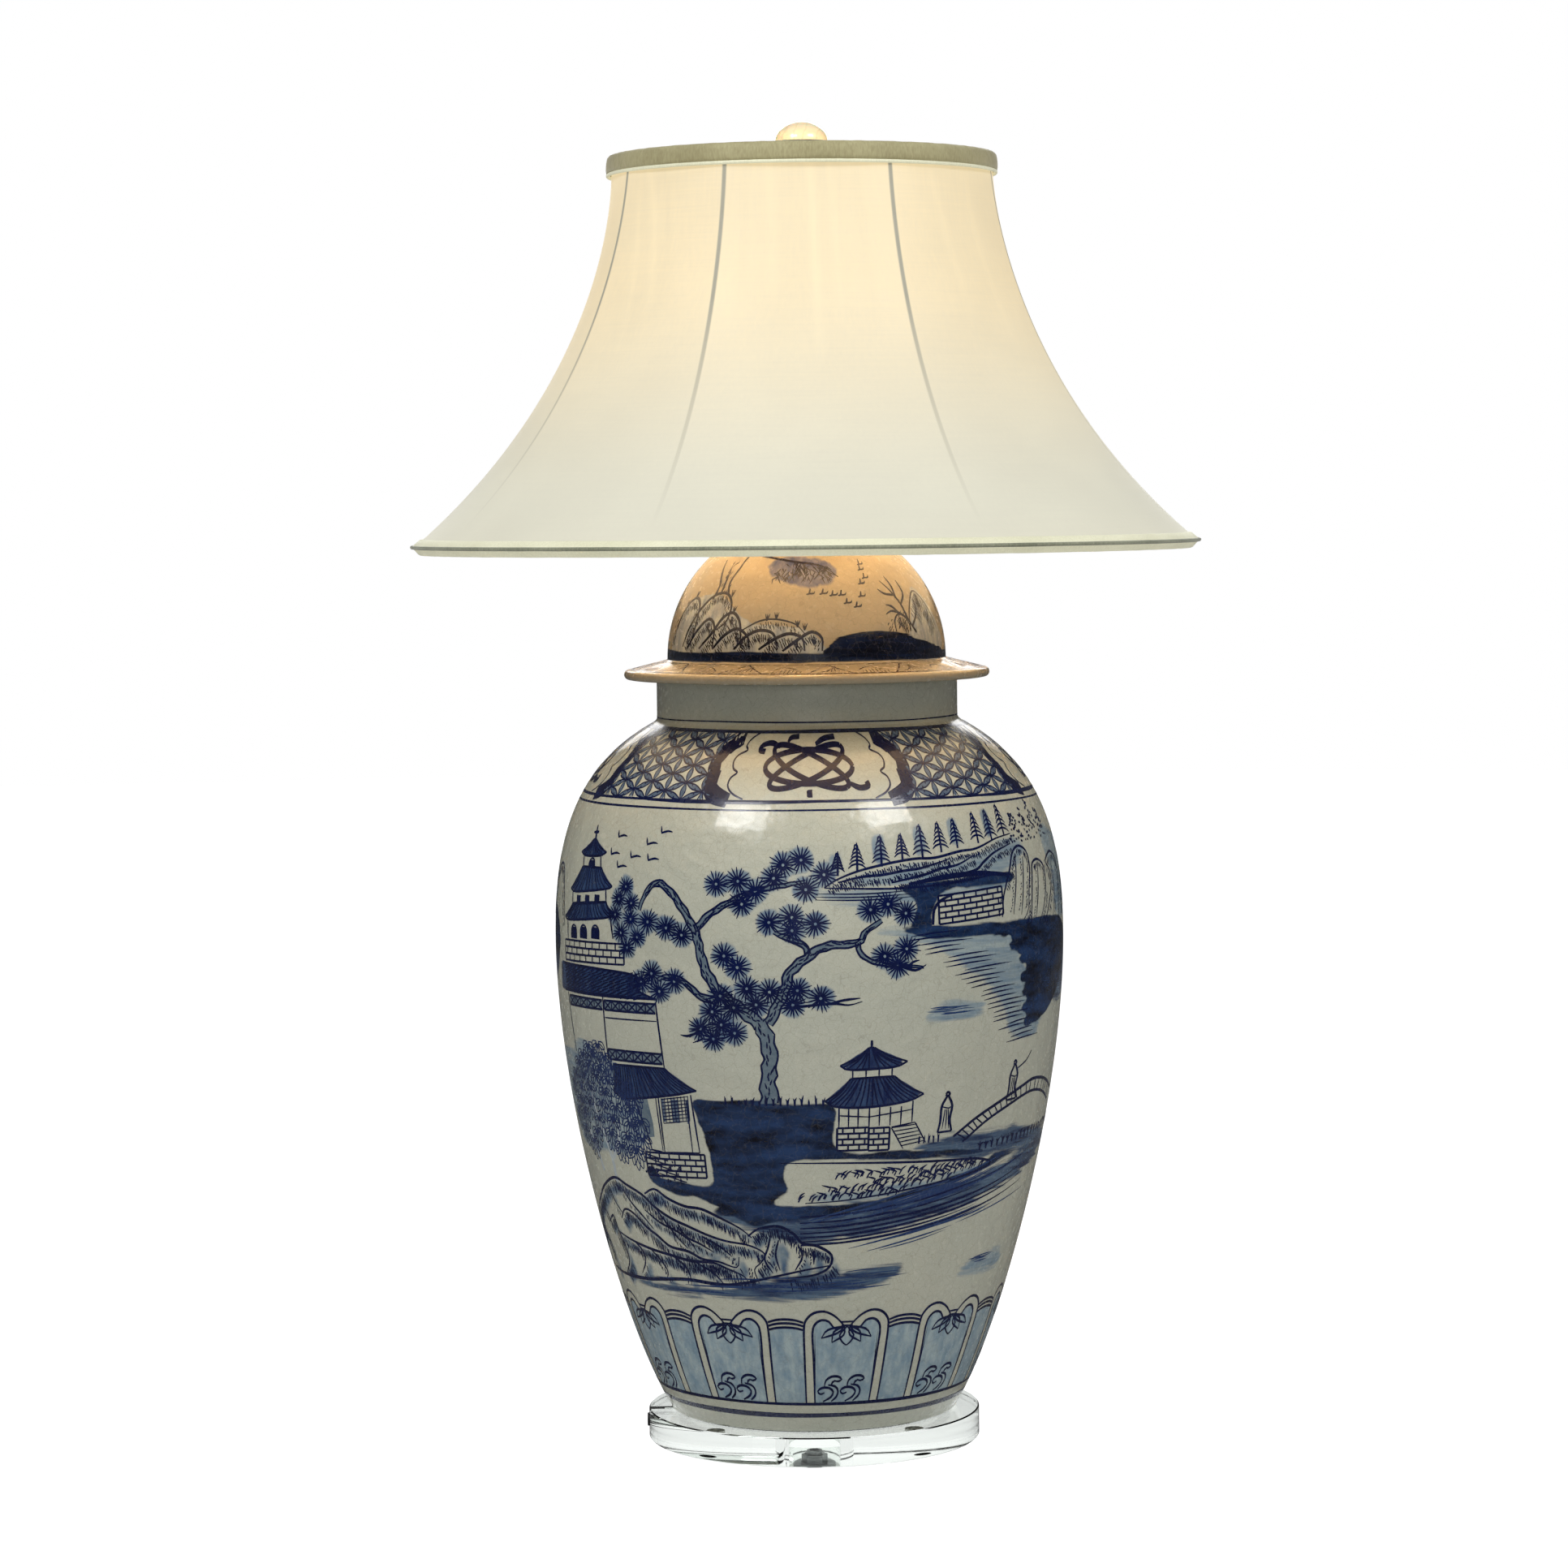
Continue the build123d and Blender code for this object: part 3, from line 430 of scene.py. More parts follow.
PINE_TUFTS = [
    (-21, 376), (-16, 378), (-12, 372), (-15, 364), (-6, 388), (-2, 391), (3, 382), (-1, 373), (-8, 380),
    (-9, 353), (-4, 356), (1, 352), (-4, 348), (-19, 332), (-16, 325), (17, 363), (21, 357), (13, 360),
    (21, 335), (16, 331), (19, 325), (-37, 319), (-31, 315), (-40, 313), (-35, 308), (-20, 307), (-14, 312),
    (-9, 310), (-17, 300), (-12, 302), (-22, 297), (-3, 311), (2, 306), (-4, 302), (-25, 286), (-20, 289),
    (-22, 280), (-17, 284), (-33, 348), (-38, 351), (-29, 344),
]
TALL_TREE_TUFTS = [
    (-45, 372), (-47, 364), (-43, 362), (-48, 354), (-43, 352), (-46, 343), (-41, 341), (-44, 334),
]

FIRS = (
    (6, 383, 396), (10.4, 385, 401), (16, 388, 405.5), (21, 391, 406), (26, 392, 411), (31, 395, 412),
    (35.6, 397, 413.5), (42, 399, 416.5), (46.6, 400, 417.5), (51.4, 402, 420),
)
ROCK_LINES = (
    [(-84, 128), (-80, 150), (-76, 160), (-72, 166), (-66, 176), (-59, 183), (-54, 180), (-48, 175),
     (-44, 168),
     (-39, 162), (-34, 158), (-28, 153), (-23, 150), (-17, 148), (-13, 143), (-14, 137), (-16, 132),
     (-15, 123)],
    [(-47, 176), (-43, 180), (-39, 175), (-34, 171), (-29, 170), (-24, 165), (-19, 159), (-16, 153)],
    [(-60, 156), (-57, 163), (-53, 161), (-49, 154), (-45, 149), (-41, 143), (-35, 141), (-31, 137),
     (-26, 136),
     (-21, 133), (-20, 140)],
    [(-69, 151), (-65, 156), (-64, 147), (-62, 138), (-62, 127), (-66, 118)],
    [(-64, 146), (-56, 142), (-48, 139), (-41, 137), (-35, 135), (-28, 135), (-24, 132), (-19, 127),
     (-18, 121)],
    [(-17, 154), (-14, 159), (-9, 161), (-5, 156), (-3, 150), (1, 148), (4.6, 142), (4, 134), (0, 129),
     (-7, 127)],
    [(-82, 140), (-78, 146), (-75, 140), (-73, 128), (-74, 118)],
)
ROCK_RIBS = (
    [(-56, 142), (-53, 137), (-53, 129), (-56, 121)], [(-49, 139), (-46, 133), (-44, 126), (-45, 120)],
    [(-41, 137), (-37, 131), (-36, 126), (-36, 119)], [(-33, 134), (-28, 128), (-25, 120)],
    [(-11, 155), (-12, 146), (-13, 139), (-11, 130)],
    [(-48, 165), (-43, 158), (-38, 154), (-34, 148), (-32, 140)],
    [(-37, 159), (-35, 151), (-31, 147), (-27, 142)], [(-44, 168), (-41, 159), (-38, 150), (-35, 143)],
    [(-56, 176), (-53, 168), (-49, 160), (-46, 153)], [(-63, 176), (-62, 168), (-59, 160)],
    [(-71, 164), (-69, 154), (-66, 146)], [(-9, 152), (-10, 142), (-9, 132)],
    [(-4, 149), (-3, 141), (-5, 132)],
    [(0, 145), (0, 136)], [(-30, 152), (-25, 146), (-22, 140)],
)
dark_washes = [
    [(-28, 239), (-24, 241), (-14, 242), (-4, 239), (5, 238), (6, 211), (24, 208), (38, 205), (45, 202),
     (30, 201), (8, 203), (-5, 203), (-7, 192), (-6, 184), (-10, 176), (-3, 172), (8, 173), (0, 166),
     (-9, 165),
     (-15, 161), (-19, 165), (-24, 172), (-30, 177), (-36, 178), (-42, 183), (-45, 191), (-42, 196),
     (-40, 189),
     (-33, 187), (-25, 186), (-25, 203), (-26, 218)],
    [(20, 373), (34, 377), (51, 378), (51, 371), (34, 370), (29, 366), (27, 358), (27, 349), (22, 348),
     (24, 358), (23, 366)],
    [(20, 347), (27, 348), (47, 347), (62, 347), (73, 345), (71, 340), (56, 338), (40, 339), (26, 341)],
    [(50, 345), (66, 346), (78, 342), (84, 330), (80, 310), (70, 290), (62, 280), (57, 284), (56, 300),
     (55, 320),
     (50, 334)],
    [(86, 300), (98, 306), (104, 330), (100, 352), (90, 350), (84, 332), (82, 312)],
    [(-26, 168), (-10, 166), (2, 167), (12, 171), (24, 178), (38, 186), (50, 192), (60, 199), (50, 199),
     (44, 192),
     (30, 184), (14, 177), (-4, 174), (-16, 174)],
]
dark_washes += [disc(angle, height, 5.6, 0.62) for angle, height in (
    (47.5, 340), (51, 332.6), (54.6, 322), (55.4, 311), (56, 301), (56.4, 291), (57.4, 281.6), (50, 340.6),
    (54, 334),
)]
mid_washes = [
    [(24, 209), (30, 214), (38, 216), (52, 216), (68, 210), (82, 206), (84, 201), (66, 199), (48, 198),
     (30, 203)],
    [(-26, 168), (-4, 173), (18, 177), (40, 185), (62, 196), (80, 204), (86, 200), (70, 186), (46, 171),
     (24, 160), (4, 151), (-6, 150), (-12, 157)],
    [(-66, 119), (-44, 117), (-24, 119), (-4, 130), (8, 131), (24, 133), (18, 122), (0, 113), (-24, 112),
     (-50, 112)],
    [(-112, 300), (-104, 318), (-96, 322), (-90, 312), (-94, 296), (-104, 290)],
]
tuft_washes = [disc(angle, height, 8.6, 0.92) for angle, height in PINE_TUFTS]
tuft_washes += [disc(angle, height, 7.6, 0.95) for angle, height in TALL_TREE_TUFTS]
tuft_washes += [[(angle - 1.3, foot + 1), (angle - 1.6, top - 3), (angle + 0.6, top - 1),
                 (angle + 0.8, foot + 2)]
                for angle, foot, top in FIRS[::2]]
# each roof's ridge, its eaves, and how many rows of tiles run down it
ROOFS = (
    ([(-60.2, 399), (-58.8, 399.2)], [(-65.0, 390.6), (-62.6, 388.6), (-56.0, 389.4), (-53.4, 392.0)], 9),
    ([(-63.0, 381.6), (-54.4, 382.2)], [(-68.4, 366.6), (-65.0, 365.2), (-52.0, 369.2), (-49.6, 371.4)], 12),
    ([(-66.6, 357.6), (-51.4, 361.4)], [(-71.4, 348.4), (-68.4, 346.6), (-52.0, 351.0), (-48.6, 354.0)], 15),
    ([(-51, 258.6), (-35, 259.4)], [(-52.4, 240.6), (-48, 237.4), (-34, 242.4), (-27, 246.4)], 22),
    ([(12.6, 274.4), (13.8, 274.4)], [(6.2, 263.6), (8.6, 260.8), (18.4, 261.6), (21.6, 264.8)], 11),
    ([(8.6, 255.2), (18.6, 255.8)], [(2.8, 241.4), (5.4, 237.6), (13, 236.8), (22, 239.4), (26.0, 243.4)],
     18),
)
GREAT_ROOF = [
    (-75, 319), (-56, 319.4), (-43, 318), (-40.6, 313), (-41.4, 308), (-36.4, 303), (-53, 301.6),
    (-76, 300.6),
]
roof_washes = [top + low[::-1] for top, low, tiles in ROOFS] + [GREAT_ROOF]
rock_washes = [
    [(angle + 0.7, height - 2.6) for angle, height in line] + [(angle + 2.6, height - 8.6) for angle,
                                                               height in line[::-1]]
    for line in ROCK_LINES + ROCK_RIBS
]
pale_washes = [
    [(26, 291), (29, 299), (34, 300), (41, 298), (41, 292), (34, 290)],
    [(-68, 268), (-57, 265), (-50, 257), (-45, 241), (-42, 220), (-47, 205), (-58, 199), (-76, 203),
     (-80, 235)],
    [(2, 373), (18, 371), (34, 373), (50, 376), (48, 369), (34, 366), (16, 364), (4, 367)],
    [(15, 347), (22, 341), (29, 335), (35, 323), (41, 312), (46, 299), (49, 287), (51, 275), (60, 271),
     (64, 284),
     (58, 300), (54, 322), (48, 341), (30, 346)],
    [(5, 375), (11, 380), (24, 386), (40, 390), (54, 398), (58, 390), (50, 379), (34, 377), (16, 374)],
    [(0, 180), (14, 183), (30, 189), (44, 194), (46, 190), (32, 185), (16, 179), (0, 176)],
    [(44, 122), (48, 131), (56, 133), (63, 131), (63, 123), (54, 121)],
    [(70, 402), (84, 396), (94, 380), (98, 352), (88, 344), (74, 346), (72, 372)],
    [(84, 240), (100, 262), (116, 258), (124, 236), (112, 226), (96, 226)],
]

side_profile = np.array(jar_side(0, 132, 78))
outer = [
    (80.9, 21.5), (88.0, 21.5), (91.4, 21.5), (92.9, 21.9), (93.7, 22.9),
] + [tuple(p) for p in side_profile]
outer += [(99.4, 469.3), (98.2, 470.2), (NECK_R, 471.8)]
outer += [(NECK_R, height) for height in (478, 484, 490, 495)]
outer += [(96.9, 496.4), (95.6, 497.0)]
inner = [(NECK_R - WALL, RIM_Z), (NECK_R - WALL, 480), (NECK_R - WALL, 466)]
inner += jar_side(WALL, 12, 8)[::-1] + [(88.8, 34.5), (5.4, 34.5), (5.4, 26.5), (80.9, 26.5)]
jar = spun("jar_skin", outer + inner, 360)
spots = places(jar)
skin = np.stack([np.degrees(np.arctan2(spots[:, 0], -spots[:, 1])) * DEGREE, spots[:, 2]], axis=1)
outside = np.hypot(spots[:, 0], spots[:, 1]) > np.interp(
    spots[:, 2], side_profile[:, 1], side_profile[:, 0]) - WALL / 2
panels = wash_depth(skin, [lappet_ground, panel_ground], LAPPET_TURNS, smooth=False)
add_mask(jar, "panel", np.where(outside, panels, FAR_OUT))
for mask, washes in (
    ("pale", pale_washes), ("rock", rock_washes), ("mid", mid_washes), ("tuft", tuft_washes),
    ("dark", dark_washes),
    ("roof", roof_washes),
):
    shape = wash_depth(skin, washes, SCENE_TURNS, smooth=mask not in ("roof", "rock"))
    add_mask(jar, mask, np.where(outside, shape, FAR_OUT))


def cobalt_wash():
    """Node group: where a wash lies, from its depth mask, with a brushed edge, streaks and a darker rim."""
    group, given, put = node_group("cobalt_wash", (
        ("Depth", "Float", 0.0), ("Streaks", "Vector", (1.0, 1.0, 1.0)), ("Ragged", "Float", 2.0),
        ("Soft", "Float", 0.5), ("Thin", "Color", (0.3, 0.4, 0.5, 1)), ("Thick", "Color", (0.1, 0.2, 0.3, 1)),
        ("Under", "Color", (0.5, 0.5, 0.5, 1)),
    ), (("Colour", "Color"),))
    place = node(group, "TexCoord").outputs["Object"]
    drawn = node(group, "Mapping", {"Vector": place, "Scale": given["Streaks"]}).outputs[0]
    shift = spread(group, noise(group, drawn, 1.0, 4.0, Distortion=0.6), 0.25, 0.75, -1.0, 1.0, clamp=False)
    pushed = node(
        group, "Math", {0: shift, 1: given["Ragged"], 2: given["Depth"]}, operation="MULTIPLY_ADD",
    ).outputs[0]
    least = node(group, "Math", {0: given["Soft"], 1: -1.0}, operation="MULTIPLY").outputs[0]
    cover = spread(group, pushed, least, given["Soft"], 0.0, 1.0, interpolation_type="SMOOTHSTEP")
    pool = spread(group, noise(group, drawn, 1.1, 7.0, Roughness=0.62), 0.36, 0.66, 0.0, 1.0)
    rim = spread(group, pushed, 0.2, 1.6, 0.55, 0.0)
    deep = node(group, "Math", {0: pool, 1: rim}, operation="MAXIMUM").outputs[0]
    laid = mix(group, cover, given["Under"], mix(group, deep, given["Thin"], given["Thick"]))
    links(group, (laid, put["Colour"]))
    return group


wash_group = cobalt_wash()


def crackled_glaze():
    """Node group: the glaze over a painted ground, with its crackle, its gloss and its orange-peel face."""
    group, given, put = node_group("crackled_glaze", (("Painted", "Color"),), SURFACE)
    place = node(group, "TexCoord").outputs["Object"]
    wander = node(group, "TexNoise", {"Vector": place, "Scale": 90.0, "Detail": 2.0}).outputs["Color"]
    bent = node(group, "Mix", {0: 0.012, 4: place, 5: wander}, data_type="VECTOR").outputs[1]
    cells = node(group, "TexVoronoi", {"Vector": bent, "Scale": 150.0}, feature="DISTANCE_TO_EDGE")
    crack = spread(group, cells.outputs["Distance"], 0.0, 0.035, 0.22, 0.0)
    veined = mix(group, crack, given["Painted"], colour(96, 92, 78))
    orange_peel = noise(group, place, 260.0, 3.0)
    swell = noise(group, place, 62.0, 2.0)
    waves = node(group, "Bump", {"Strength": 0.5, "Distance": 0.003, "Height": swell}).outputs[0]
    dents = node(
        group, "Bump", {"Strength": 0.12, "Distance": 0.0006, "Height": orange_peel, "Normal": waves},
    ).outputs[0]
    gloss = spread(group, orange_peel, 0.0, 1.0, 0.2, 0.32)
    links(group, (veined, put["Colour"]), (gloss, put["Roughness"]), (dents, put["Normal"]))
    return group


def porcelain():
    """Node group: the bare grey-green ground of the glaze, clouded and finely speckled."""
    group, given, put = node_group(
        "porcelain_ground", (("Light Ground", "Color"), ("Deep Ground", "Color")), (("Colour", "Color"),),
    )
    place = node(group, "TexCoord").outputs["Object"]
    body = mix(group, noise(group, place, 14.0, 5.0), given["Light Ground"], given["Deep Ground"])
    share = spread(group, noise(group, place, 1400.0, 2.0), 0.35, 0.75, 0.0, 0.3)
    links(group, (mix(group, share, body, colour(128, 130, 114)), put["Colour"]))
    return group


glaze_group = crackled_glaze()
ground_group = porcelain()


def glazed(name, layers, light=colour(182, 182, 167), deep=colour(168, 171, 158)):
    """Crackled clear glaze over washes, laid in order: mask, streaks, raggedness, softness and two tints."""
    material, tree, shader = finish(
        name, IOR=1.5, Coat_Weight=0.35, Coat_Roughness=0.06, Specular_IOR_Level=0.28,
    )
    body = node(
        tree, "Group", {"Light Ground": light, "Deep Ground": deep}, node_tree=ground_group,
    ).outputs[0]
    for mask, streaks, ragged, soft, thin, thick in layers:
        depth = node(tree, "Attribute", attribute_name=mask).outputs["Fac"]
        body = node(
            tree, "Group",
            {"Depth": depth, "Under": body, "Streaks": streaks, "Ragged": ragged, "Soft": soft,
             "Thin": thin, "Thick": thick},
            node_tree=wash_group,
        ).outputs["Colour"]
    fed(tree, shader, glaze_group, {"Painted": body})
    return material


UP_STREAKS = (160.0, 160.0, 14.0)
LEVEL_STREAKS = (26.0, 26.0, 260.0)
ROCK_STREAKS = (90.0, 90.0, 60.0)
POOLED = (30.0, 30.0, 90.0)
jar.data.materials.append(glazed("jar_glaze", (
    ("panel", UP_STREAKS, 0.5, 0.25, colour(150, 165, 168), colour(112, 134, 148)),
    ("pale", LEVEL_STREAKS, 3.2, 2.4, colour(146, 158, 158), colour(104, 124, 140)),
    ("rock", ROCK_STREAKS, 1.6, 2.2, colour(118, 132, 138), colour(66, 88, 114)),
    ("mid", LEVEL_STREAKS, 3.4, 1.8, colour(84, 104, 124), colour(14, 32, 70)),
    ("tuft", ROCK_STREAKS, 1.2, 1.4, colour(132, 146, 150), colour(86, 106, 130)),
    ("dark", POOLED, 1.6, 0.8, colour(34, 56, 92), colour(0, 2, 22)),
    ("roof", UP_STREAKS, 0.2, 0.4, colour(50, 70, 102), colour(14, 30, 70)),
)))
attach(jar, "lamp_body")
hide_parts("jar_body")

# ---- Painting on the jar
# Cobalt brushwork: each stroke is a thin swelling line that tapers where the brush lifts. It is laid out
# flat, in degrees round the jar and millimetres up it, and then wrapped on to the glaze.
rng = np.random.default_rng(7)
LIFT_BACK = -0.05      # how far a stroke's back lies in the glaze, in millimetres
LINE_LIFT = (0.1, 0.075)        # how far a line's middle and its edges stand off the glaze
WASH_LIFT = (0.06, 0.04)
BOLD = 1.3             # how much the brush spreads as it is pressed down
easel = {}


def skin_of(profile, reach, by_run=False):
    """A turned face to paint on: its reference radius, and its marks up the face, points and normals."""
    line = np.array(profile, float)
    along = np.gradient(line, axis=0)
    normal = np.stack([along[:, 1], -along[:, 0]], axis=1)
    normal /= np.linalg.norm(normal, axis=1)[:, None]
    steps = np.linalg.norm(np.diff(line, axis=0), axis=1)
    marks = np.concatenate([[0], np.cumsum(steps)]) if by_run else line[:, 1]
    return reach, marks, line, normal


jar_heights = skin_of(
    [(90.0, 21.6), (93.2, 22.6)] + jar_side(0, 300, 240) + [(97.4, 471.8), (97.4, 496)], BELLY_R,
)
per_degree = {}        # pieces painted on another face than the jar's, with their own millimetres per degree


def draw(piece, points, width=0.9, start=0.35, end=0.15, turns=SCENE_TURNS, step=3.0, swell=None):
    """Adds a brush stroke to a painted piece: width in millimetres, and its share at either end."""
    degree = per_degree.get(piece, DEGREE)
    line = flow([(angle * degree, height) for angle, height in points], step)
    if len(line) == 2:
        line = np.array([line[0], (line[0] + line[1]) / 2, line[1]])
    run = np.concatenate([[0], np.cumsum(np.linalg.norm(np.diff(line, axis=0), axis=1))])
    share = run / max(run[-1], 1e-6)
    lead = np.minimum(1, start + (1 - start) * share / 0.25)
    tail = np.minimum(1, end + (1 - end) * (1 - share) / 0.35)
    radius = 0.5 * BOLD * width * np.minimum(lead, tail)
    if swell:
        radius = 0.5 * BOLD * width * np.maximum(0.12, np.sin(math.pi * share) ** swell)
    for turn in turns:
        easel.setdefault(piece, []).append((line + (turn * degree, 0), radius))


def wrapped(flat, skin):
    """Flat (along, up, lift) millimetres wrapped on to a turned face, in metres."""
    reach, marks, line, normal = skin
    angle = flat[:, 0] / reach
    radius, height = (
        np.interp(flat[:, 1], marks, line[:, axis])
        + np.interp(flat[:, 1], marks, normal[:, axis]) * flat[:, 2]
        for axis in (0, 1)
    )
    return np.stack([radius * np.sin(angle), -radius * np.cos(angle), height], axis=1) * MM


def hang(name, curve, skin, material, lift):
    """Makes a flat curve a mesh, wraps it on its skin and fixes it there, a little proud of the glaze."""
    sheet = bpy.data.objects.new(name, curve)
    bpy.context.scene.collection.objects.link(sheet)
    bpy.context.view_layer.update()
    mesh = bpy.data.meshes.new_from_object(sheet.evaluated_get(bpy.context.evaluated_depsgraph_get()))
    bpy.data.objects.remove(sheet)
    mesh.name = name
    flat = np.zeros(len(mesh.vertices) * 3, np.float32)
    mesh.vertices.foreach_get("co", flat)
    flat = flat.reshape(-1, 3)
    flat[:, 2] = np.where(flat[:, 2] > 1e-4, lift[0], np.where(flat[:, 2] < -1e-4, LIFT_BACK, lift[1]))
    mesh.vertices.foreach_set("co", wrapped(flat, skin).astype(np.float32).ravel())
    mesh.materials.clear()
    mesh.materials.append(material)
    mesh.polygons.foreach_set("use_smooth", [False] * len(mesh.polygons))
    mesh.polygons.foreach_set("material_index", [0] * len(mesh.polygons))
    mesh.update()
    piece = bpy.data.objects.new(name, mesh)
    bpy.context.scene.collection.objects.link(piece)
    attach(piece, "lamp_body")


def finish_strokes(name, skin, material):
    """Turns all strokes laid on a piece into one thin mesh on the glaze, the washes lower than the lines."""
    curve = bpy.data.curves.new(name, "CURVE")
    curve.dimensions = "3D"
    curve.twist_mode = "Z_UP"
    curve.bevel_depth = 1.0
    curve.bevel_resolution = 0
    curve.use_fill_caps = True
    curve.resolution_u = 1
    for line, radius in easel.pop(name):
        spline = curve.splines.new("POLY")
        spline.points.add(len(line) - 1)
        points = np.column_stack([line, np.zeros(len(line)), np.ones(len(line))])
        spline.points.foreach_set("co", points.astype(np.float32).ravel())
        spline.points.foreach_set("radius", radius.astype(np.float32))
    hang(name, curve, skin, material, WASH_LIFT if name.endswith("washes") else LINE_LIFT)


def ink(name, tint, deep, scale=60.0):
    """Cobalt under the glaze: uneven where the brush ran dry, and as glossy as the glaze over it."""
    return surfaced(
        name, tint, deep, scale, (0.2, 0.32), 0.08, 260.0, IOR=1.5, Coat_Weight=0.25,
        Coat_Roughness=0.06, Specular_IOR_Level=0.3,
    )


line_ink = ink("cobalt_line", colour(16, 30, 72), colour(4, 11, 42))
dark_ink = ink("cobalt_dark", colour(12, 20, 62), colour(3, 6, 34))
needle_ink = ink("cobalt_needle", colour(12, 30, 76), colour(3, 11, 44))
leaf_ink = ink("cobalt_leaf", colour(98, 112, 126), colour(52, 68, 94), 200.0)
bark_ink = ink("cobalt_bark", colour(112, 124, 128), colour(66, 84, 102), 160.0)
roof_ink = ink("cobalt_water", colour(52, 74, 112), colour(18, 36, 80), 90.0)


# The rings at the foot and under the neck, and the long foot lines of the shoulder band
def ring(piece, height, width):
    """A line right round the jar, thrown on the wheel, with the brush's slight wander."""
    wobble = 0.15
    angles = np.arange(0, 362, 2.0)
    wave = wobble * np.sin(np.radians(angles * 3 + height * 40))
    wave += wobble * 0.5 * np.sin(np.radians(angles * 7))
    line = np.stack([angles * DEGREE, height + wave], axis=1)
    line[-1, 1] = line[0, 1]
    swing = 1 + 0.12 * np.sin(np.radians(angles * 4 + height * 17))
    easel.setdefault(piece, []).append((line, 0.5 * width * swing))


for height, width in ((33.4, 3.2), (41.4, 2.1), (421.0, 1.2), (426.0, 1.5), (467.2, 2.0), (472.6, 0.9)):
    ring("ring_lines", height, width)
draw("ring_lines", [(-44, 425.6), (-20, 425.7), (4, 425.6)], 1.9, turns=(0, 90, 180, 270))


# Lappets round the foot: a hooked frame, hanging petals and two scrolls, with arcs in the gaps between
def sided(points, side):
    """Points as they are for a side of 1, and mirrored for a side of -1."""
    return [(side * angle, height) for angle, height in points]


for side in (-1, 1):
    outer_frame = [
        (12.6, 42), (12.7, 70), (12.7, 92), (12.0, 99), (9.8, 103.6), (6.8, 104.6), (4.0, 101.8),
        (1.9, 97.4), (1.0, 94.8),
    ]
    inner_frame = [
        (9.6, 42), (9.9, 70), (10.2, 90), (9.3, 96.4), (7.4, 98.9), (5.4, 97.7), (4.2, 94.2), (3.0, 92.9),
        (1.6, 94.4),
    ]
    for frame_line in (outer_frame, inner_frame):
        draw("lappet_lines", sided(frame_line, side), 1.45, 0.8, 0.7, LAPPET_TURNS)
    for tip, low in ((7.6, 86.6), (4.4, 83.6)):
        for bulge in (-1.5, 1.5):
            middle = (side * (tip * 0.55 + bulge), (94.6 + low) / 2 + bulge * 0.7 + 0.5)
            draw("lappet_lines", [(side * 0.8, 94.6), middle, (side * tip, low)], 1.2, 0.7, 0.5, LAPPET_TURNS)
    petal = [(0, 94.4), (2.1, 88.5), (1.3, 84), (0, 81.6)]
    draw("lappet_lines", sided(petal, side), 1.2, 0.7, 0.6, LAPPET_TURNS)
for height in (94.9, 97.4):
    draw("lappet_lines", [(-1.7, height), (1.7, height)], 1.0, 0.9, 0.9, LAPPET_TURNS)
for height, bow in ((99.4, 2.2), (96.8, 2.0), (94.0, 1.8)):
    arc = [
        (12.8, height - bow), (15.2, height - bow * 0.25), (18, height), (20.8, height - bow * 0.25),
        (23.2, height - bow),
    ]
    draw("lappet_lines", arc, 1.3, 0.9, 0.9, LAPPET_TURNS)
for foot in (-5.4, 2.2):
    scrolls = (
        [(-1.4, 43), (1.2, 46), (2.0, 49.6), (0.6, 52.4),
         (-1.8, 52.6), (-3.2, 50.4), (-2.4, 48.2), (-1.0, 49.2)],
        [(1.4, 43), (3.2, 46.4), (3.6, 50.2), (2.6, 53.4), (0.2, 54.6)],
        [(-1.0, 53.6), (-0.6, 57.6), (1.2, 60.2), (3.4, 60.2), (4.6, 58.2), (3.4, 56.8), (2.2, 57.6)],
        [(1.2, 54.6), (1.6, 56.4), (2.4, 57.4)],
    )
    for line in scrolls:
        draw("lappet_lines", [(foot + angle, height) for angle, height in line], 1.4, 0.6, 0.6, LAPPET_TURNS)
for side in (-1, 1):
    for edge in (12.75, 9.5):
        draw("lappet_lines", [(side * edge, 43), (side * edge, 90)], 0.6, 0.4, 0.2, LAPPET_TURNS)


# Shoulder band: four scalloped windows, each with a knot, and a lattice of pointed leaves between them
WINDOW_TURNS = (0, 90, 180, 270)
window_edge = (
    [(21.0, 463.6), (23.4, 461.4), (24.8, 456.4)], [(24.6, 459.4), (27.0, 450), (26.0, 441.6)],
    [(25.8, 445), (26.2, 435.4), (24.4, 430), (20.4, 426.4)],
)
window_line = [
    (16.2, 467), (18.6, 463.2), (19.4, 459), (18.6, 456.4), (20.8, 453.6), (21.6, 450), (21.0, 445.6),
    (19.6, 443.2), (21.0, 440.0), (21.2, 435.2), (19.6, 430.8), (16.6, 427.2),
]
for side in (-1, 1):
    for edge in window_edge:
        draw("window_borders", sided(edge, side), 8.4, 0.8, 0.8, WINDOW_TURNS)
    draw("ring_lines", sided(window_line, side), 1.0, 0.9, 0.9, WINDOW_TURNS, step=1.2)
loops = [(1.0, 0.66, 0.0), (1.14, 0.4, math.pi / 4), (1.14, 0.4, -math.pi / 4)]
for long_half, short_half, spin in loops:
    loop = []
    for turn in np.linspace(0, 2 * math.pi, 49):
        east = long_half * math.cos(turn)
        north = short_half * math.sin(turn)
        loop.append((
            12.0 * (east * math.cos(spin) - north * math.sin(spin)),
            446.6 + 15.2 * (east * math.sin(spin) + north * math.cos(spin)),
        ))
    draw("window_borders", loop, 2.7, 1.0, 1.0, WINDOW_TURNS, step=1.5)
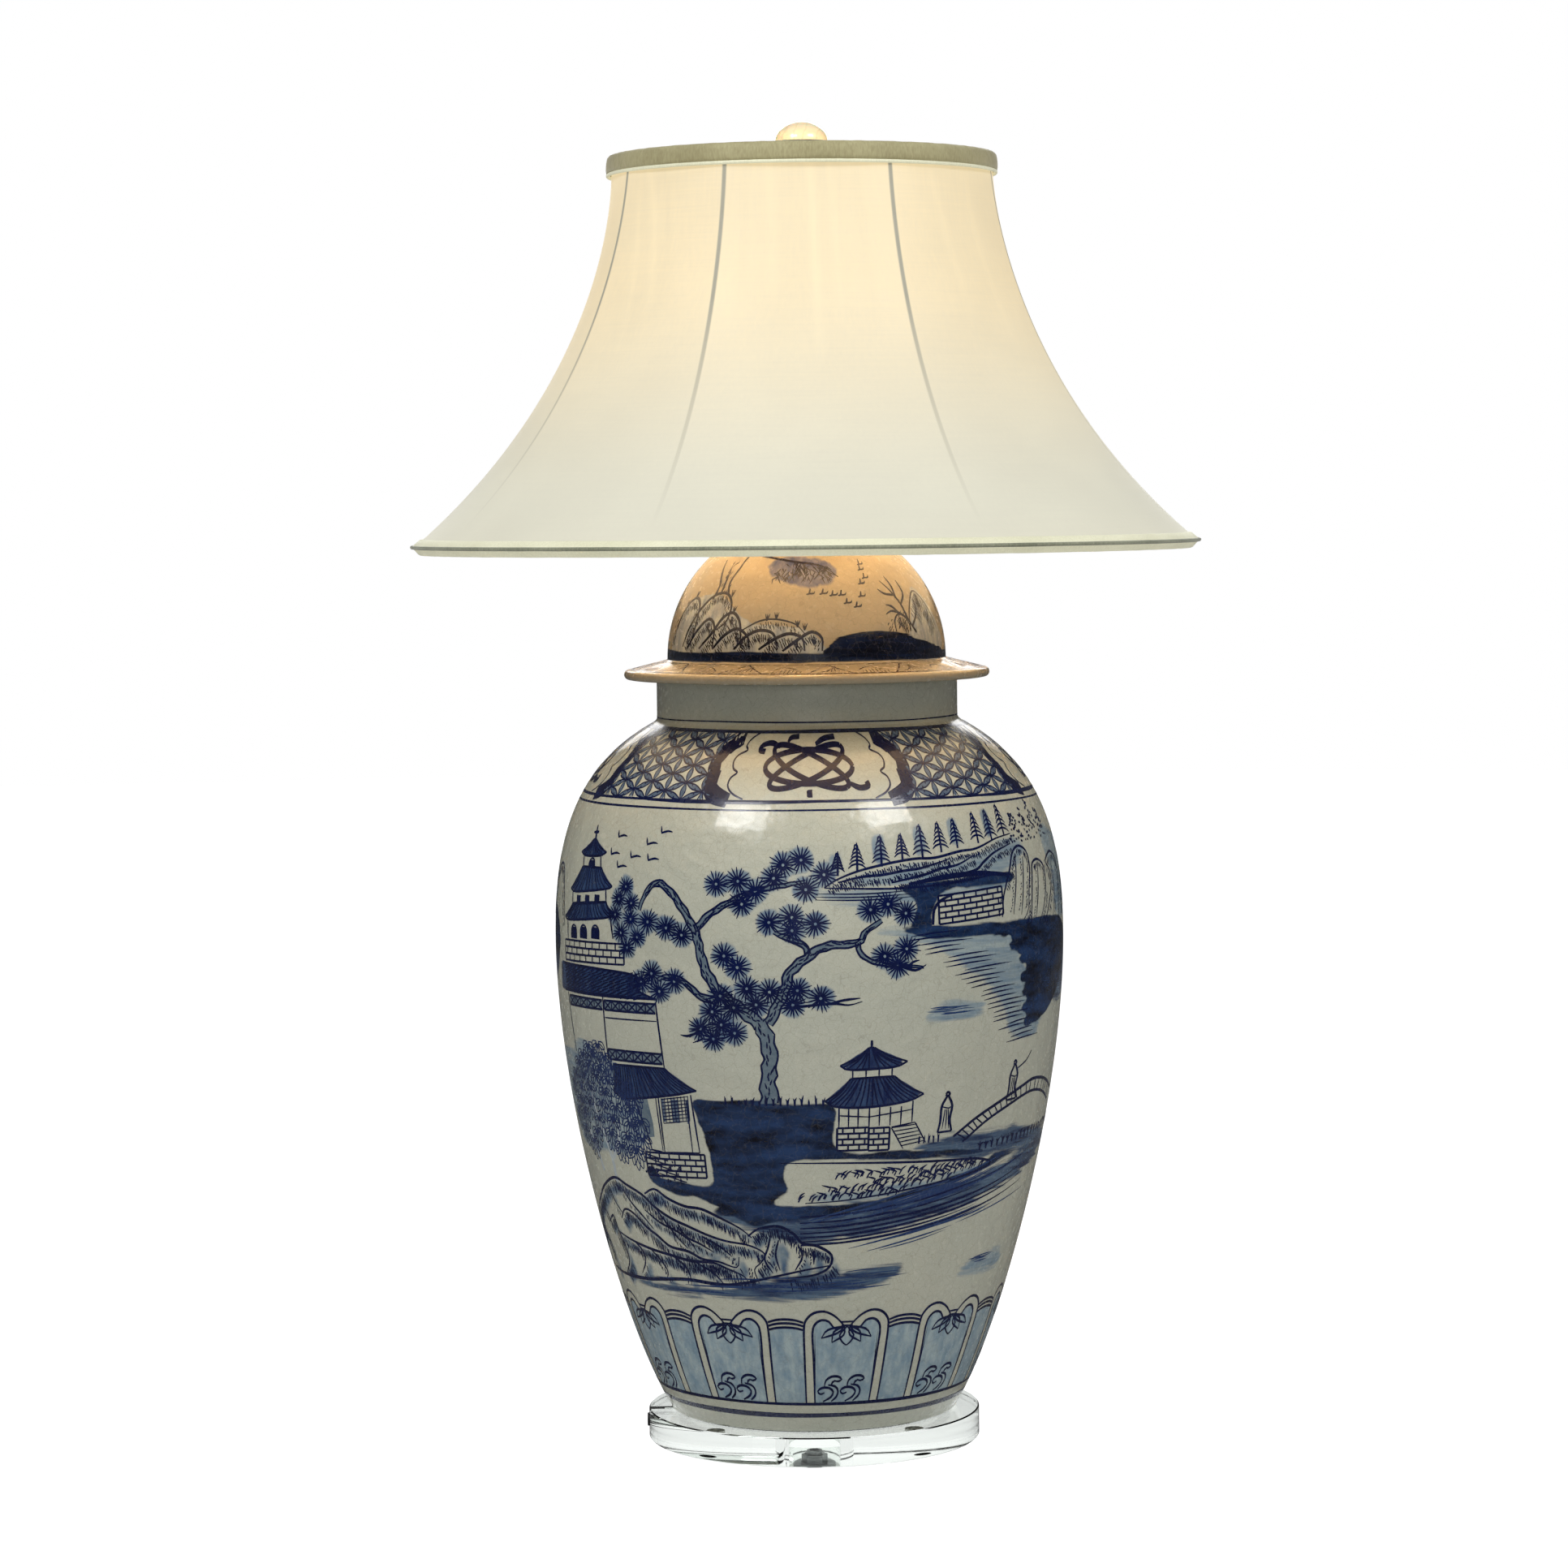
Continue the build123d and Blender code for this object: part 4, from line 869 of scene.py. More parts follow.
for points, width in (
    ([(-8.6, 458.4), (-11.6, 460.6), (-14.2, 459.2), (-14.6, 456.4), (-13.0, 455.6)], 2.6),
    ([(10.6, 436.4), (13.0, 433.8), (15.2, 434.8), (15.0, 437.6)], 2.8),
    ([(-6.4, 461.0), (-5.6, 463.6), (-3.0, 464.4)], 2.4),
    ([(2.2, 459.8), (5.0, 463.0), (8.6, 464.2)], 2.6),
    ([(-0.6, 430.6), (0.8, 430.8)], 3.6),
):
    draw("window_borders", points, width, 0.7, 1.0, WINDOW_TURNS, step=1.2)


def band_room(angle, height):
    """True where the lattice shows: between two windows, inside the band's lines."""
    off_middle = abs((angle % 90) - 45)
    low, high = 426.4, 466.8
    edge = np.interp(
        height, [426, 431, 438, 443, 448, 453, 457, 462, 467],
        [22.4, 18.6, 17.6, 19.0, 17.0, 17.6, 19.8, 18.8, 21.4],
    )
    return low < height < high and off_middle < edge


def draw_in_band(piece, points, width, start, end, swell=None):
    """Draws the part of a stroke that falls inside the lattice panel."""
    line = flow(points, 1.2)
    inside = [band_room(angle, height) for angle, height in line]
    run = []
    for point, keep in list(zip(line, inside)) + [(None, False)]:
        if keep:
            run.append(tuple(point))
            continue
        if len(run) > 2:
            draw(piece, run, width, start, end, WINDOW_TURNS, swell=swell)
        run = []


COLUMN = 5.7
ROW = 10.2
for column in range(-4, 5):
    for row in range(-1, 6):
        knot_at = (45 + COLUMN * column, 426.5 + ROW * row + (ROW / 2 if column % 2 else 0))
        for reach in ((0, ROW), (COLUMN, ROW / 2), (COLUMN, -ROW / 2)):
            tip = (knot_at[0] + reach[0], knot_at[1] + reach[1])
            middle = np.array([(knot_at[0] + tip[0]) / 2, (knot_at[1] + tip[1]) / 2])
            across = np.array([-reach[1], reach[0] * DEGREE * 0.75])
            across = across / math.hypot(reach[1], reach[0] * DEGREE * 0.75)
            across = across * (1 / (DEGREE * 0.75), 1)
            draw_in_band("lattice_washes", [knot_at, tuple(middle), tip], 2.5, 0.1, 0.1, swell=0.7)
            for bulge in (-1.55, 1.55):
                draw_in_band("lattice_lines", [knot_at, tuple(middle + across * bulge), tip], 0.66, 0.8, 0.8)
        for shift, spin in ((COLUMN * 2 / 3, 1), (COLUMN / 3, -1)):
            centre = (knot_at[0] + shift, knot_at[1] + (ROW / 2 if spin > 0 else 0))
            for spoke in (0, 120, 240):
                turn = math.radians(spoke) if spin > 0 else math.radians(spoke + 180)
                far = (centre[0] + 0.95 * math.cos(turn), centre[1] + 2.2 * math.sin(turn))
                near = (centre[0] + 0.35 * math.cos(turn), centre[1] + 0.8 * math.sin(turn))
                half_way = ((far[0] + near[0]) / 2, (far[1] + near[1]) / 2)
                draw_in_band("lattice_lines", [far, half_way, near], 0.7, 0.9, 0.4)


# Pines: a trunk and limbs with a bark wash between two wandering lines, and round tufts of needles
def limb(points, widths, ticks=1.0):
    """A bough: its wash, its two outlines and a few bark marks, as wide as its widths say."""
    line = flow([(angle * DEGREE, height) for angle, height in points], 2.5)
    share = np.linspace(0, 1, len(line))
    half = np.interp(share, np.linspace(0, 1, len(widths)), widths) / 2
    along = np.gradient(line, axis=0)
    along /= np.linalg.norm(along, axis=1)[:, None]
    across = np.stack([-along[:, 1], along[:, 0]], axis=1)
    for turn in SCENE_TURNS:
        easel.setdefault("bark_washes", []).append((line + (turn * DEGREE, 0), half * 1.02))
    for side in (-1, 1):
        wander = 1 + 0.22 * np.sin(np.arange(len(line)) * 1.9 + side)
        edge = line + across * (side * half * wander)[:, None]
        draw("tree_lines", [(x / DEGREE, y) for x, y in edge[::2]], 1.05, 0.8, 0.6)
    for spot in range(1, len(line) - 1):
        if half[spot] > 1.4 and rng.random() < ticks:
            offset = rng.uniform(-0.6, 0.6)
            mid = line[spot] + across[spot] * half[spot] * offset
            reach = along[spot] * rng.uniform(1.4, 3.0) + across[spot] * rng.uniform(-0.8, 0.8)
            tick = [tuple((mid - reach) / (DEGREE, 1)), tuple((mid + reach * 0.6) / (DEGREE, 1))]
            draw("tree_lines", tick, 0.9, 0.6, 0.3)


limb([(-9.6, 240), (-9.8, 254), (-9.2, 270), (-10.2, 284), (-11.6, 292)], [12.5, 9.5, 9.0, 9.5, 8])
limb([(-11.4, 290), (-15, 298), (-20, 309), (-23, 321), (-24.5, 334), (-25.6, 349)], [8, 7, 6.5, 6, 5.4, 5])
limb([(-25.2, 344), (-28, 357), (-32, 370), (-36, 375.5), (-39, 368), (-40.5, 358)], [5, 4.6, 4.2, 3.8, 3, 2])
limb(
    [(-25.6, 348), (-22, 358), (-16.4, 367), (-11, 373), (-5, 376), (-1, 378)],
    [4.4, 3.6, 3.2, 2.8, 2.4, 1.6],
)
limb([(-20.5, 303), (-25, 307), (-28, 314), (-32, 318), (-36, 315)], [4.4, 3.8, 3.2, 2.6, 1.6])
limb(
    [(-9.4, 290), (-7.6, 300), (-5.6, 312), (-4.6, 322), (-1, 331), (3, 338), (10, 340), (12, 347),
     (15.5, 353)],
    [6.5, 6, 6, 5.4, 5, 4.6, 4, 3.2, 2.4],
)
limb([(-0.6, 333), (-1.6, 339), (-4.4, 342.5), (-8, 347)], [3.6, 3, 3, 2])
limb([(10, 340), (11, 332), (15, 326.5), (21, 324.5), (25, 323)], [3, 2.4, 2, 1.6, 1])
for twig in (
    [(-6, 300), (4, 302.5), (8, 301.5), (11, 303.5)], [(4, 302.5), (7, 304.6), (10.6, 305.6)],
    [(-24, 290), (-26, 284), (-24.6, 280), (-27, 277)], [(-26, 283), (-28.4, 281), (-30, 281.6)],
    [(19, 325), (23, 321.4), (25.6, 324.6)], [(21, 323), (22.4, 326.6), (24, 327.6)],
):
    draw("tree_lines", twig, 1.3, 0.8, 0.3)


def tuft(angle, height, reach, blades):
    """A star of pine needles."""
    first = rng.uniform(0, 2 * math.pi)
    for blade in range(blades):
        turn = first + 2 * math.pi * blade / blades + rng.uniform(-0.07, 0.07)
        length = reach * rng.uniform(0.85, 1.1)
        start = (angle + 0.10 * length * math.cos(turn) / DEGREE, height + 0.10 * length * math.sin(turn))
        end = (angle + length * math.cos(turn) / DEGREE, height + 0.92 * length * math.sin(turn))
        draw("pine_needles", [start, end], 0.82, 1.0, 0.4)


for angle, height in PINE_TUFTS:
    tuft(angle, height, 9.4, 19)
for angle, height in TALL_TREE_TUFTS:
    tuft(angle, height, 7.6, 17)


# Firs along the hill, each a mast with drooping boughs, smaller towards the far end
def fir(angle, foot, top):
    """One fir tree."""
    tall = top - foot
    draw("fir_lines", [(angle, foot - 2), (angle + 0.2, top)], 1.2, 1.0, 0.5)
    for row in range(6):
        drop = row / 5
        height = top - 1.0 - (tall - 4.2) * drop
        reach = (0.5 + 1.5 * drop ** 0.8) * tall / 16
        for side in (-1, 1):
            bough = [
                (angle, height), (angle + side * reach * 0.6, height - 0.9),
                (angle + side * reach, height - 2.8),
            ]
            draw("fir_lines", bough, 0.95, 1.0, 0.5)


for angle, foot, top in FIRS:
    fir(angle, foot, top)


# The hill, its cliff and the bank: a bold ridge line with short shading strokes that fall from it
def ridge(points, reach, slant, width=1.5, spacing=2.0, hair=0.85, rows=2, piece="ground_lines"):
    """A rock or bank edge with its shading."""
    degree = per_degree.get(piece, DEGREE)
    draw(piece, points, width, 0.6, 0.4)
    line = flow([(angle * degree, height) for angle, height in points], spacing)
    along = np.gradient(line, axis=0)
    along /= np.linalg.norm(along, axis=1)[:, None]
    for spot, way in zip(line[1:-1], along[1:-1]):
        off = np.array([way[1], -way[0]]) if way[0] - 0.4 * way[1] > 0 else np.array([-way[1], way[0]])
        fall = 0.55 * off + (slant, -0.75)
        for row in range(rows):
            if rng.random() < 0.85:
                start = spot + off * (2.2 + row * reach * 0.4 + rng.uniform(-0.7, 0.7))
                end = start + fall * reach * rng.uniform(0.35, 0.7)
                middle = (start + end) / 2 + (rng.uniform(-0.5, 0.5), 0)
                draw(piece, [(x / degree, y) for x, y in (start, middle, end)], hair, 0.8, 0.2)


for crest in (
    [(3, 374), (6, 379), (11, 384), (18, 388), (24, 390), (29, 390), (36, 393), (41, 394), (48, 399),
     (54, 401)],
    [(6, 377), (11, 380), (16, 381), (21, 383), (25, 384), (30, 387), (33, 389)],
    [(18, 376), (22, 378), (26, 380), (30, 383), (35, 385), (40, 390)],
    [(24, 375), (29, 377), (35, 379), (40, 381), (43, 386), (47, 391), (53, 395)],
):
    ridge(crest, 3.6, 0.5, 1.3, 1.6, 0.75, 2)
draw("ground_lines", [(22, 375), (32, 378), (41, 378.6), (51, 376)], 2.6, 0.4, 0.6)
draw("ground_lines", [(3, 373.8), (20, 372.4), (34, 374.4), (47, 377.4)], 1.0, 0.6, 0.4)
for height in (370.4, 368.4, 366.6):
    draw("ground_lines", [(1, height), (12, height - 0.6), (24, height + 0.6)], 0.7, 0.3, 0.2)
for cliff in (
    [(47, 350), (48, 364), (51, 379), (53, 389), (56, 393), (59, 389), (59.4, 379), (58, 366), (57, 353),
     (55, 347)],
    [(58, 344), (59, 360), (60, 373), (61, 381), (64, 383), (67, 378), (67, 367), (65, 354), (62, 342)],
    [(65, 342), (68, 353), (71, 366), (71, 374), (69, 381), (74, 386), (79, 378), (78, 360), (76, 342)],
    [(81, 344), (82.6, 366), (86, 380), (90, 384), (94, 376), (96.4, 352)],
    [(93, 346), (96, 370), (100, 380), (104, 378), (107, 360), (108, 342)],
):
    ridge(cliff, 5, 0.1, 1.25, 1.9, 0.75, 1)
for rib in (
    [(54, 387), (53, 373), (52, 362), (51, 351)], [(57, 386), (56, 373), (55, 361), (54, 350)],
    [(63.6, 379), (62.4, 365), (60.4, 346)], [(73, 380), (73.4, 364), (71, 346)],
    [(88, 378), (87, 362), (86, 348)],
):
    ridge(rib, 4, 0.1, 0.9, 1.9, 0.7, 1)
for tree_angle, tree_top in ((56, 413), (61, 416), (66, 420), (71, 414)):
    for leaf in range(34):
        aside = rng.uniform(-2.6, 2.6)
        height = rng.uniform(396, tree_top)
        spot = (tree_angle + aside * (tree_top + 6 - height) / 20, height)
        draw(
            "ground_lines", [spot, (spot[0] + rng.uniform(0.4, 0.9), spot[1] + rng.uniform(-0.6, 0.8))],
            1.3, 0.6, 0.6,
        )


# The walled terrace in the hill's side: courses of brick
def bricks(left, right, foot, top, rows, brick_width, lean=0.0):
    """A panel of brickwork between two angles and two heights."""
    for row in range(rows + 1):
        height = foot + (top - foot) * row / rows
        course = [(left, height), ((left + right) / 2, height + lean / 2), (right, height + lean)]
        draw("building_lines", course, 1.05, 0.9, 0.9)
    for row in range(rows):
        low = foot + (top - foot) * row / rows
        high = foot + (top - foot) * (row + 1) / rows
        angle = left + brick_width * (0.5 if row % 2 else 1.0)
        while angle < right - 0.3:
            lift = lean * (angle - left) / (right - left)
            draw("building_lines", [(angle, low + lift), (angle, high + lift)], 1.0, 0.9, 0.9)
            angle += brick_width
    for edge, lift in ((left, 0), (right, lean)):
        draw("building_lines", [(edge, foot + lift), (edge, top + lift)], 1.2, 0.9, 0.9)


bricks(29, 47.4, 349, 366.5, 5, 3.4, lean=3.0)
draw("building_lines", [(27.4, 349), (27.8, 358), (29.6, 363.6), (33, 367)], 1.5, 0.9, 0.6)


# Clouds and water: long dry strokes
def streaks(count, left, right, low, high, slope, width, least, most):
    """Loose level strokes scattered over an area, which rise by a slope in millimetres to the degree."""
    for _ in range(count):
        start = rng.uniform(left, right)
        height = rng.uniform(low, high) + slope * (start - left)
        length = rng.uniform(least, most)
        bow = rng.uniform(-0.8, 0.8)
        middle = (start + length / 2, height + slope * length / 2 + bow)
        end = (start + length, height + slope * length)
        draw("water_lines", [(start, height), middle, end], width * rng.uniform(0.6, 1.2), 0.25, 0.1)


streaks(9, 26, 32, 292, 298.6, 0.06, 0.6, 5, 9)
for row in range(26):
    share = row / 25
    left = np.interp(share, [0, 0.25, 0.5, 0.75, 1], [20, 31, 39, 46, 49]) + rng.uniform(-2.5, 2.5)
    height = 344 - 72 * share
    reach = rng.uniform(9, 15)
    draw(
        "reed_lines", [(left, height - 1.6), (left + reach / 2, height), (left + reach, height + 0.6)],
        0.75, 0.3, 0.2,
    )
streaks(16, -4, 30, 150, 165, 0.62, 0.9, 18, 40)
streaks(10, 6, 40, 138, 148, 0.5, 0.7, 12, 30)
streaks(14, -50, 0, 113, 124, 0.06, 0.8, 14, 26)
streaks(8, 0, 14, 118, 130, 0.12, 0.7, 8, 16)
streaks(6, 44, 50, 123, 131, 0.1, 0.7, 5, 10)
for height, reach in (
    (148.5, 1.0), (150.8, 0.8), (153.4, 1.0), (156.2, 0.9), (159.4, 0.95), (163, 0.8), (167, 0.9),
):
    current = [(-3.4, height), (9, height + 2), (27, height + 8), (46, height + 17), (66, height + 29)]
    shown = current[:4] if reach < 0.9 else current
    draw("reed_lines", shown, 1.2 * reach, 0.6, 0.1)


# Rocks at the water's edge
for line in ROCK_LINES:
    ridge(line, 6.4, 0.3, 1.5, 1.8, 0.75, 2)
for line in ROCK_RIBS:
    ridge(line, 4.6, 0.3, 1.2, 1.9, 0.7, 1)
draw(
    "ground_lines",
    [(-86, 121), (-70, 117), (-54, 118), (-38, 122), (-24, 121), (-12, 127), (-3, 132), (4, 135)], 1.8, 0.5,
    0.4,
)
for angle, height in ((-40, 198), (-36, 196), (-43, 192), (-34, 190), (-38, 187)):
    for _ in range(9):
        spot = (angle + rng.uniform(-2.4, 2.4), height + rng.uniform(-3.4, 3.4))
        draw("ground_lines", [spot, (spot[0] + 0.35, spot[1] + rng.uniform(-0.5, 0.5))], 1.2, 0.8, 0.8)


# Banks: reeds in rows, and grass on the skyline
def grass(angle, height, size, blades):
    """A tuft of bending reeds."""
    for blade in range(blades):
        lean = (blade - (blades - 1) / 2) * 0.45 + rng.uniform(-0.2, 0.2)
        tip = (angle + lean * size / 5, height + size * rng.uniform(0.6, 1.0))
        draw("reed_lines", [(angle, height), (angle + lean * 0.3, height + size * 0.5), tip], 1.0, 0.9, 0.2)


for angle in np.arange(-20, 4.5, 1.6):
    grass(angle, 238.5, rng.uniform(4, 8), 2)
for angle in np.arange(25.6, 31, 1.3):
    grass(angle, 211.5, rng.uniform(5, 9), 2)
draw(
    "ground_lines",
    [(-8, 202), (8, 201.6), (28, 199.6), (44, 197.4), (48.6, 192.6), (40, 188), (24, 182.6), (8, 177.6),
     (-2, 176)],
    1.2, 0.4, 0.4,
)
for left, right, height, rise in (
    (6, 44, 192, 0.06), (14, 46, 187, 0.16), (4, 36, 182, 0.16), (-3, 22, 177.4, 0.14),
):
    for angle in np.arange(left, right, 1.9):
        for _ in range(2):
            spot = angle + rng.uniform(-0.8, 0.8)
            base = height + rise * (angle - left) + rng.uniform(-1.2, 1.2)
            curl = [(spot, base), (spot + 0.5, base + 2.6), (spot + 1.6 * rng.choice((-1, 1, 1)), base + 4.4)]
            draw("reed_lines", curl, 0.95, 0.8, 0.25)
for angle in np.arange(44, 84, 2.1):
    base = 203 + (angle - 44) * 0.12
    grass(angle, base, 7, 4)


# Birds over the water
for angle, height in (
    (-50, 402), (-40, 398.6), (-36.4, 406), (-51.4, 391), (-44.4, 390), (-39, 389), (-48.4, 383.4),
):
    draw(
        "building_lines", [(angle - 0.5, height + 4.2), (angle, height), (angle + 0.6, height + 0.6)], 1.1,
        0.4, 0.8,
    )
    draw(
        "building_lines",
        [(angle + 0.1, height + 0.2), (angle + 1.7, height + 1.3), (angle + 3.0, height + 0.8)], 1.1, 0.9,
        0.4,
    )


# Buildings: ruled walls, hatched roofs with upturned eaves, lattice windows and brick plinths
def path(points, width=1.15, start=0.8, end=0.6):
    """A ruled line through points, each run its own stroke."""
    for first, last in zip(points, points[1:]):
        draw("building_lines", [first, last], width, start, end)


def roof(ridge_line, eaves_line, tiles):
    """A tiled roof: ridge and eaves as flowing lines, hip lines at both ends, and tile lines between them."""
    width = 0.8
    top = flow(ridge_line, 0.75)
    low = flow(eaves_line, 0.75)
    draw("building_lines", ridge_line, width * 1.5, 0.8, 0.8)
    draw("building_lines", eaves_line, width * 1.5, 0.8, 0.8)
    for tile in range(tiles + 1):
        share = tile / tiles
        above = top[int(share * (len(top) - 1))]
        below = low[int(share * (len(low) - 1))]
        bow = (above + below) / 2 + ((share - 0.5) * -1.0, -0.8)
        heavy = width if 0 < tile < tiles else width * 1.4
        draw("building_lines", [tuple(above), tuple(bow), tuple(below)], heavy, 0.9, 0.7)


def arch(angle, foot, half, height):
    """A round-headed doorway."""
    head = foot + height - half * DEGREE
    points = [(angle - half, foot), (angle - half, head)]
    for turn in (0.5, 1.0, 1.57, 2.1, 2.6):
        points.append((angle - half * math.cos(turn), head + half * DEGREE * math.sin(turn)))
    points += [(angle + half, head), (angle + half, foot)]
    draw("building_lines", points, 1.0, 0.9, 0.9, step=1.5)
    draw("building_lines", [(angle, foot), (angle, foot + height - 1.2)], half * DEGREE * 1.7, 0.95, 0.8)


def crosses(left, right, foot, top, count, slope):
    """A frieze of crossed bars between two rails."""
    width = 0.9
    for rail in (foot, top):
        draw("building_lines", [(left, rail), (right, rail + slope)], width * 1.3, 0.9, 0.9)
    draw(
        "bark_washes", [(left, (foot + top) / 2), (right, (foot + top) / 2 + slope)], (top - foot) / BOLD,
        1, 1,
    )
    for bay in range(count):
        near = left + (right - left) * bay / count
        far = left + (right - left) * (bay + 1) / count
        lift_near = slope * bay / count
        lift_far = slope * (bay + 1) / count
        low_near, high_near = (near, foot + lift_near), (near, top + lift_near)
        low_far, high_far = (far, foot + lift_far), (far, top + lift_far)
        for bar in ((low_near, high_far), (high_near, low_far), (low_near, high_near)):
            draw("building_lines", bar, width, 0.9, 0.9)


# the pagoda: a mast, three storeys that widen downwards, and its brick parapet
path([(-59.2, 398), (-60, 408)], 1.6)
draw("building_lines", [(-60.9, 403.4), (-58.6, 403.8)], 1.5, 0.6, 0.85)
for ridge_tiles, eaves, rows in ROOFS:
    roof(ridge_tiles, eaves, rows)
path([(-63.2, 388), (-62.6, 380.6)])
path([(-55.4, 389), (-54.6, 381.4)])
arch(-58.8, 381, 1.3, 6.4)
path([(-67.0, 365), (-66.6, 357)])
path([(-51.8, 369), (-51.4, 361)])
path([(-66.6, 357), (-51.4, 361)])
for angle, foot in ((-63.4, 358.6), (-59.2, 359.6), (-55.0, 360.6)):
    path([(angle, foot), (angle, foot + 4.6)], 4.6, 0.95, 0.95)
path([(-69.4, 346), (-69.0, 334)])
path([(-49.6, 352), (-48.6, 338.6)])
for angle, foot in ((-65.4, 335.4), (-60.4, 336.4), (-55.2, 337.2)):
    arch(angle, foot, 1.5, 8.6)
bricks(-71, -45, 320.4, 333.4, 3, 2.9, lean=2.6)

# the house below it: a broad hatched roof, a storey with crossed friezes, a lower roof and a lattice window
for row in range(9):
    low = 301.4 + row * 1.9
    for bar in range(15):
        near = -72 + bar * 2.1 + 0.5 * (row % 2)
        path([(near, low), (near + 2.4, low + 1.9)], 0.8)
draw(
    "building_lines", [(-73, 318), (-56, 318.6), (-43, 317.4), (-40.6, 313), (-41.4, 308), (-36.4, 303)],
    1.3, 0.8, 0.8,
)
draw("building_lines", [(-73, 301), (-53, 302), (-36, 303)], 1.6, 0.8, 0.8)
path([(-53, 301), (-53, 258.4)], 1.1)
path([(-36.2, 301), (-35, 259)], 1.1)
path([(-70.5, 300), (-69, 262)], 1.1)
crosses(-52.6, -36.4, 293, 299, 6, 0.85)
crosses(-52.6, -35.4, 261.6, 268, 6, 0.4)
crosses(-69.6, -53.4, 292, 298, 5, 0.85)
path([(-52.6, 288), (-36.2, 289)], 0.75)
path([(-45.4, 239), (-42.4, 217), (-41.6, 206)], 1.0)
path([(-37.6, 241), (-37.6, 205)], 1.0)
path([(-28.6, 243.6), (-27.6, 206.6)], 1.0)
path([(-41.6, 206), (-37.6, 205), (-27.6, 206.6)], 1.0)
draw("leaf_washes", [(-33.1, 240), (-33.1, 225)], 16, 1, 1)
draw("bark_washes", [(-43.0, 238), (-41.6, 214)], 9, 1, 0.7)
for bar in range(9):
    share = bar / 8
    path([(-36.8 + 7.4 * share, 240 + 3 * share), (-36.8 + 7.4 * share, 224 + 3 * share)], 0.6)
for bar in range(8):
    path([(-36.8, 224 + 2.2 * bar), (-29.4, 227 + 2.2 * bar)], 0.6)
for post in (-38.4, -29.8):
    path([(post, 240), (post + 0.3, 206)], 0.8)
bricks(-44, -26.4, 189, 204, 4, 3.0, lean=1.6)
for step in range(5):
    draw(
        "building_lines", [(-44 + step * 0.9, 203 - step * 3.0), (-37 + step * 1.2, 199.6 - step * 3.2)],
        0.7, 0.8, 0.85,
    )

# the pavilion by the pine: two hipped roofs, a neck, three bays and a brick plinth with steps
path([(13.2, 279), (13.2, 274)], 1.4)
path([(9, 260), (9, 255.4)], 0.8)
path([(18, 261), (18, 255.6)], 0.8)
path([(12, 260.6), (12, 255.4)], 0.85)
path([(15, 260.8), (15, 255.6)], 0.85)
for angle, top, foot in ((6, 237, 224.6), (13, 236.6, 222.6), (23.4, 239.4, 226)):
    path([(angle, top), (angle, foot)], 0.9)
for angle in (8.2, 10.4, 15.4, 18.0, 20.6):
    path([(angle, 236.4), (angle, 224.6)], 0.85)
path([(6, 232), (13, 230.6), (23.4, 234)], 0.75)
bricks(5.6, 13, 209.6, 224, 4, 2.6)
bricks(13, 18, 209, 223.4, 4, 2.4)
path([(18.4, 223.4), (24.2, 225.6), (27.4, 212)], 0.8)
for step in range(6):
    path([(18.4 + step * 0.5, 223 - step * 2.4), (24.8 + step * 0.4, 224.4 - step * 2.2)], 0.65)
path([(18.4, 223), (21.6, 209)], 0.8)


def figure(angle, foot, tall):
    """A small walker in a long robe, in a few strokes."""
    head = foot + tall
    cap = [(-0.5, head - 1.4), (0, head), (0.6, head - 1.2), (0, head - 2.6), (-0.5, head - 1.4)]
    draw("building_lines", [(angle + off, height) for off, height in cap], 1.3, 1, 1, step=1)
    for line, width, start in (
        ([(-0.2, head - 3), (-1.4, head - 9), (-1.5, foot + 7), (-2.0, foot)], 1.5, 0.9),
        ([(0.4, head - 3), (1.5, head - 9), (1.1, foot + 8), (1.9, foot + 0.4)], 1.5, 0.9),
        ([(-2.0, foot), (1.9, foot + 0.4)], 1.1, 0.8),
        ([(-1.4, head - 9), (0.6, head - 10.4), (1.5, head - 9)], 0.7, 0.8),
    ):
        draw("building_lines", [(angle + off, height) for off, height in line], width, start, 0.8)
    for fold in (-0.7, 0.1, 0.8):
        draw(
            "building_lines", [(angle + fold * 0.6, head - 11), (angle + fold * 1.2, foot + 2)], 0.75, 0.8,
            0.4,
        )


figure(32.4, 217.6, 25.5)
figure(53.6, 232.6, 25)
draw("building_lines", [(54.6, 252), (58.5, 256.5), (60.5, 262)], 0.8, 0.9, 0.75)

# the arched bridge
handrail = [(35, 214), (42, 225), (50, 233.4), (58, 240), (64, 243), (72, 240), (80, 232)]
deck = [(38, 210), (45, 221.4), (53, 229.4), (62, 235), (70, 233), (78, 225)]
draw("building_lines", handrail, 1.6, 0.8, 0.85)
draw("building_lines", deck, 1.4, 0.8, 0.85)
high = flow(handrail, 1.0)
low = flow(deck, 1.0)
for share in np.linspace(0.04, 0.96, 22):
    baluster = [tuple(high[int(share * (len(high) - 1))]), tuple(low[int(share * (len(low) - 1))])]
    draw("building_lines", baluster, 0.8, 0.8, 0.8)


# The leafy tree by the house: hanging sprays of long leaves, each outlined, round a forked trunk
def spray(angle, height, size, leaves):
    """A fan of long leaves that hang from one place."""
    for leaf in range(leaves):
        turn = math.radians(-158 + 136 * leaf / (leaves - 1))
        length = size * (0.75 + 0.35 * math.sin(math.pi * leaf / (leaves - 1))) * rng.uniform(0.92, 1.08)
        way = np.array([math.cos(turn), math.sin(turn) * 1.1 - 0.15])
        across = np.array([-way[1], way[0]]) * size * 0.19
        root = np.array([angle * DEGREE, height])
        loop = [root + way * 0.15 * length, root + way * 0.6 * length + across, root + way * length,
                root + way * 0.6 * length - across, root + way * 0.15 * length]
        draw("leaf_lines", [(x / DEGREE, y) for x, y in loop], 0.7, 1, 1, step=2.2)


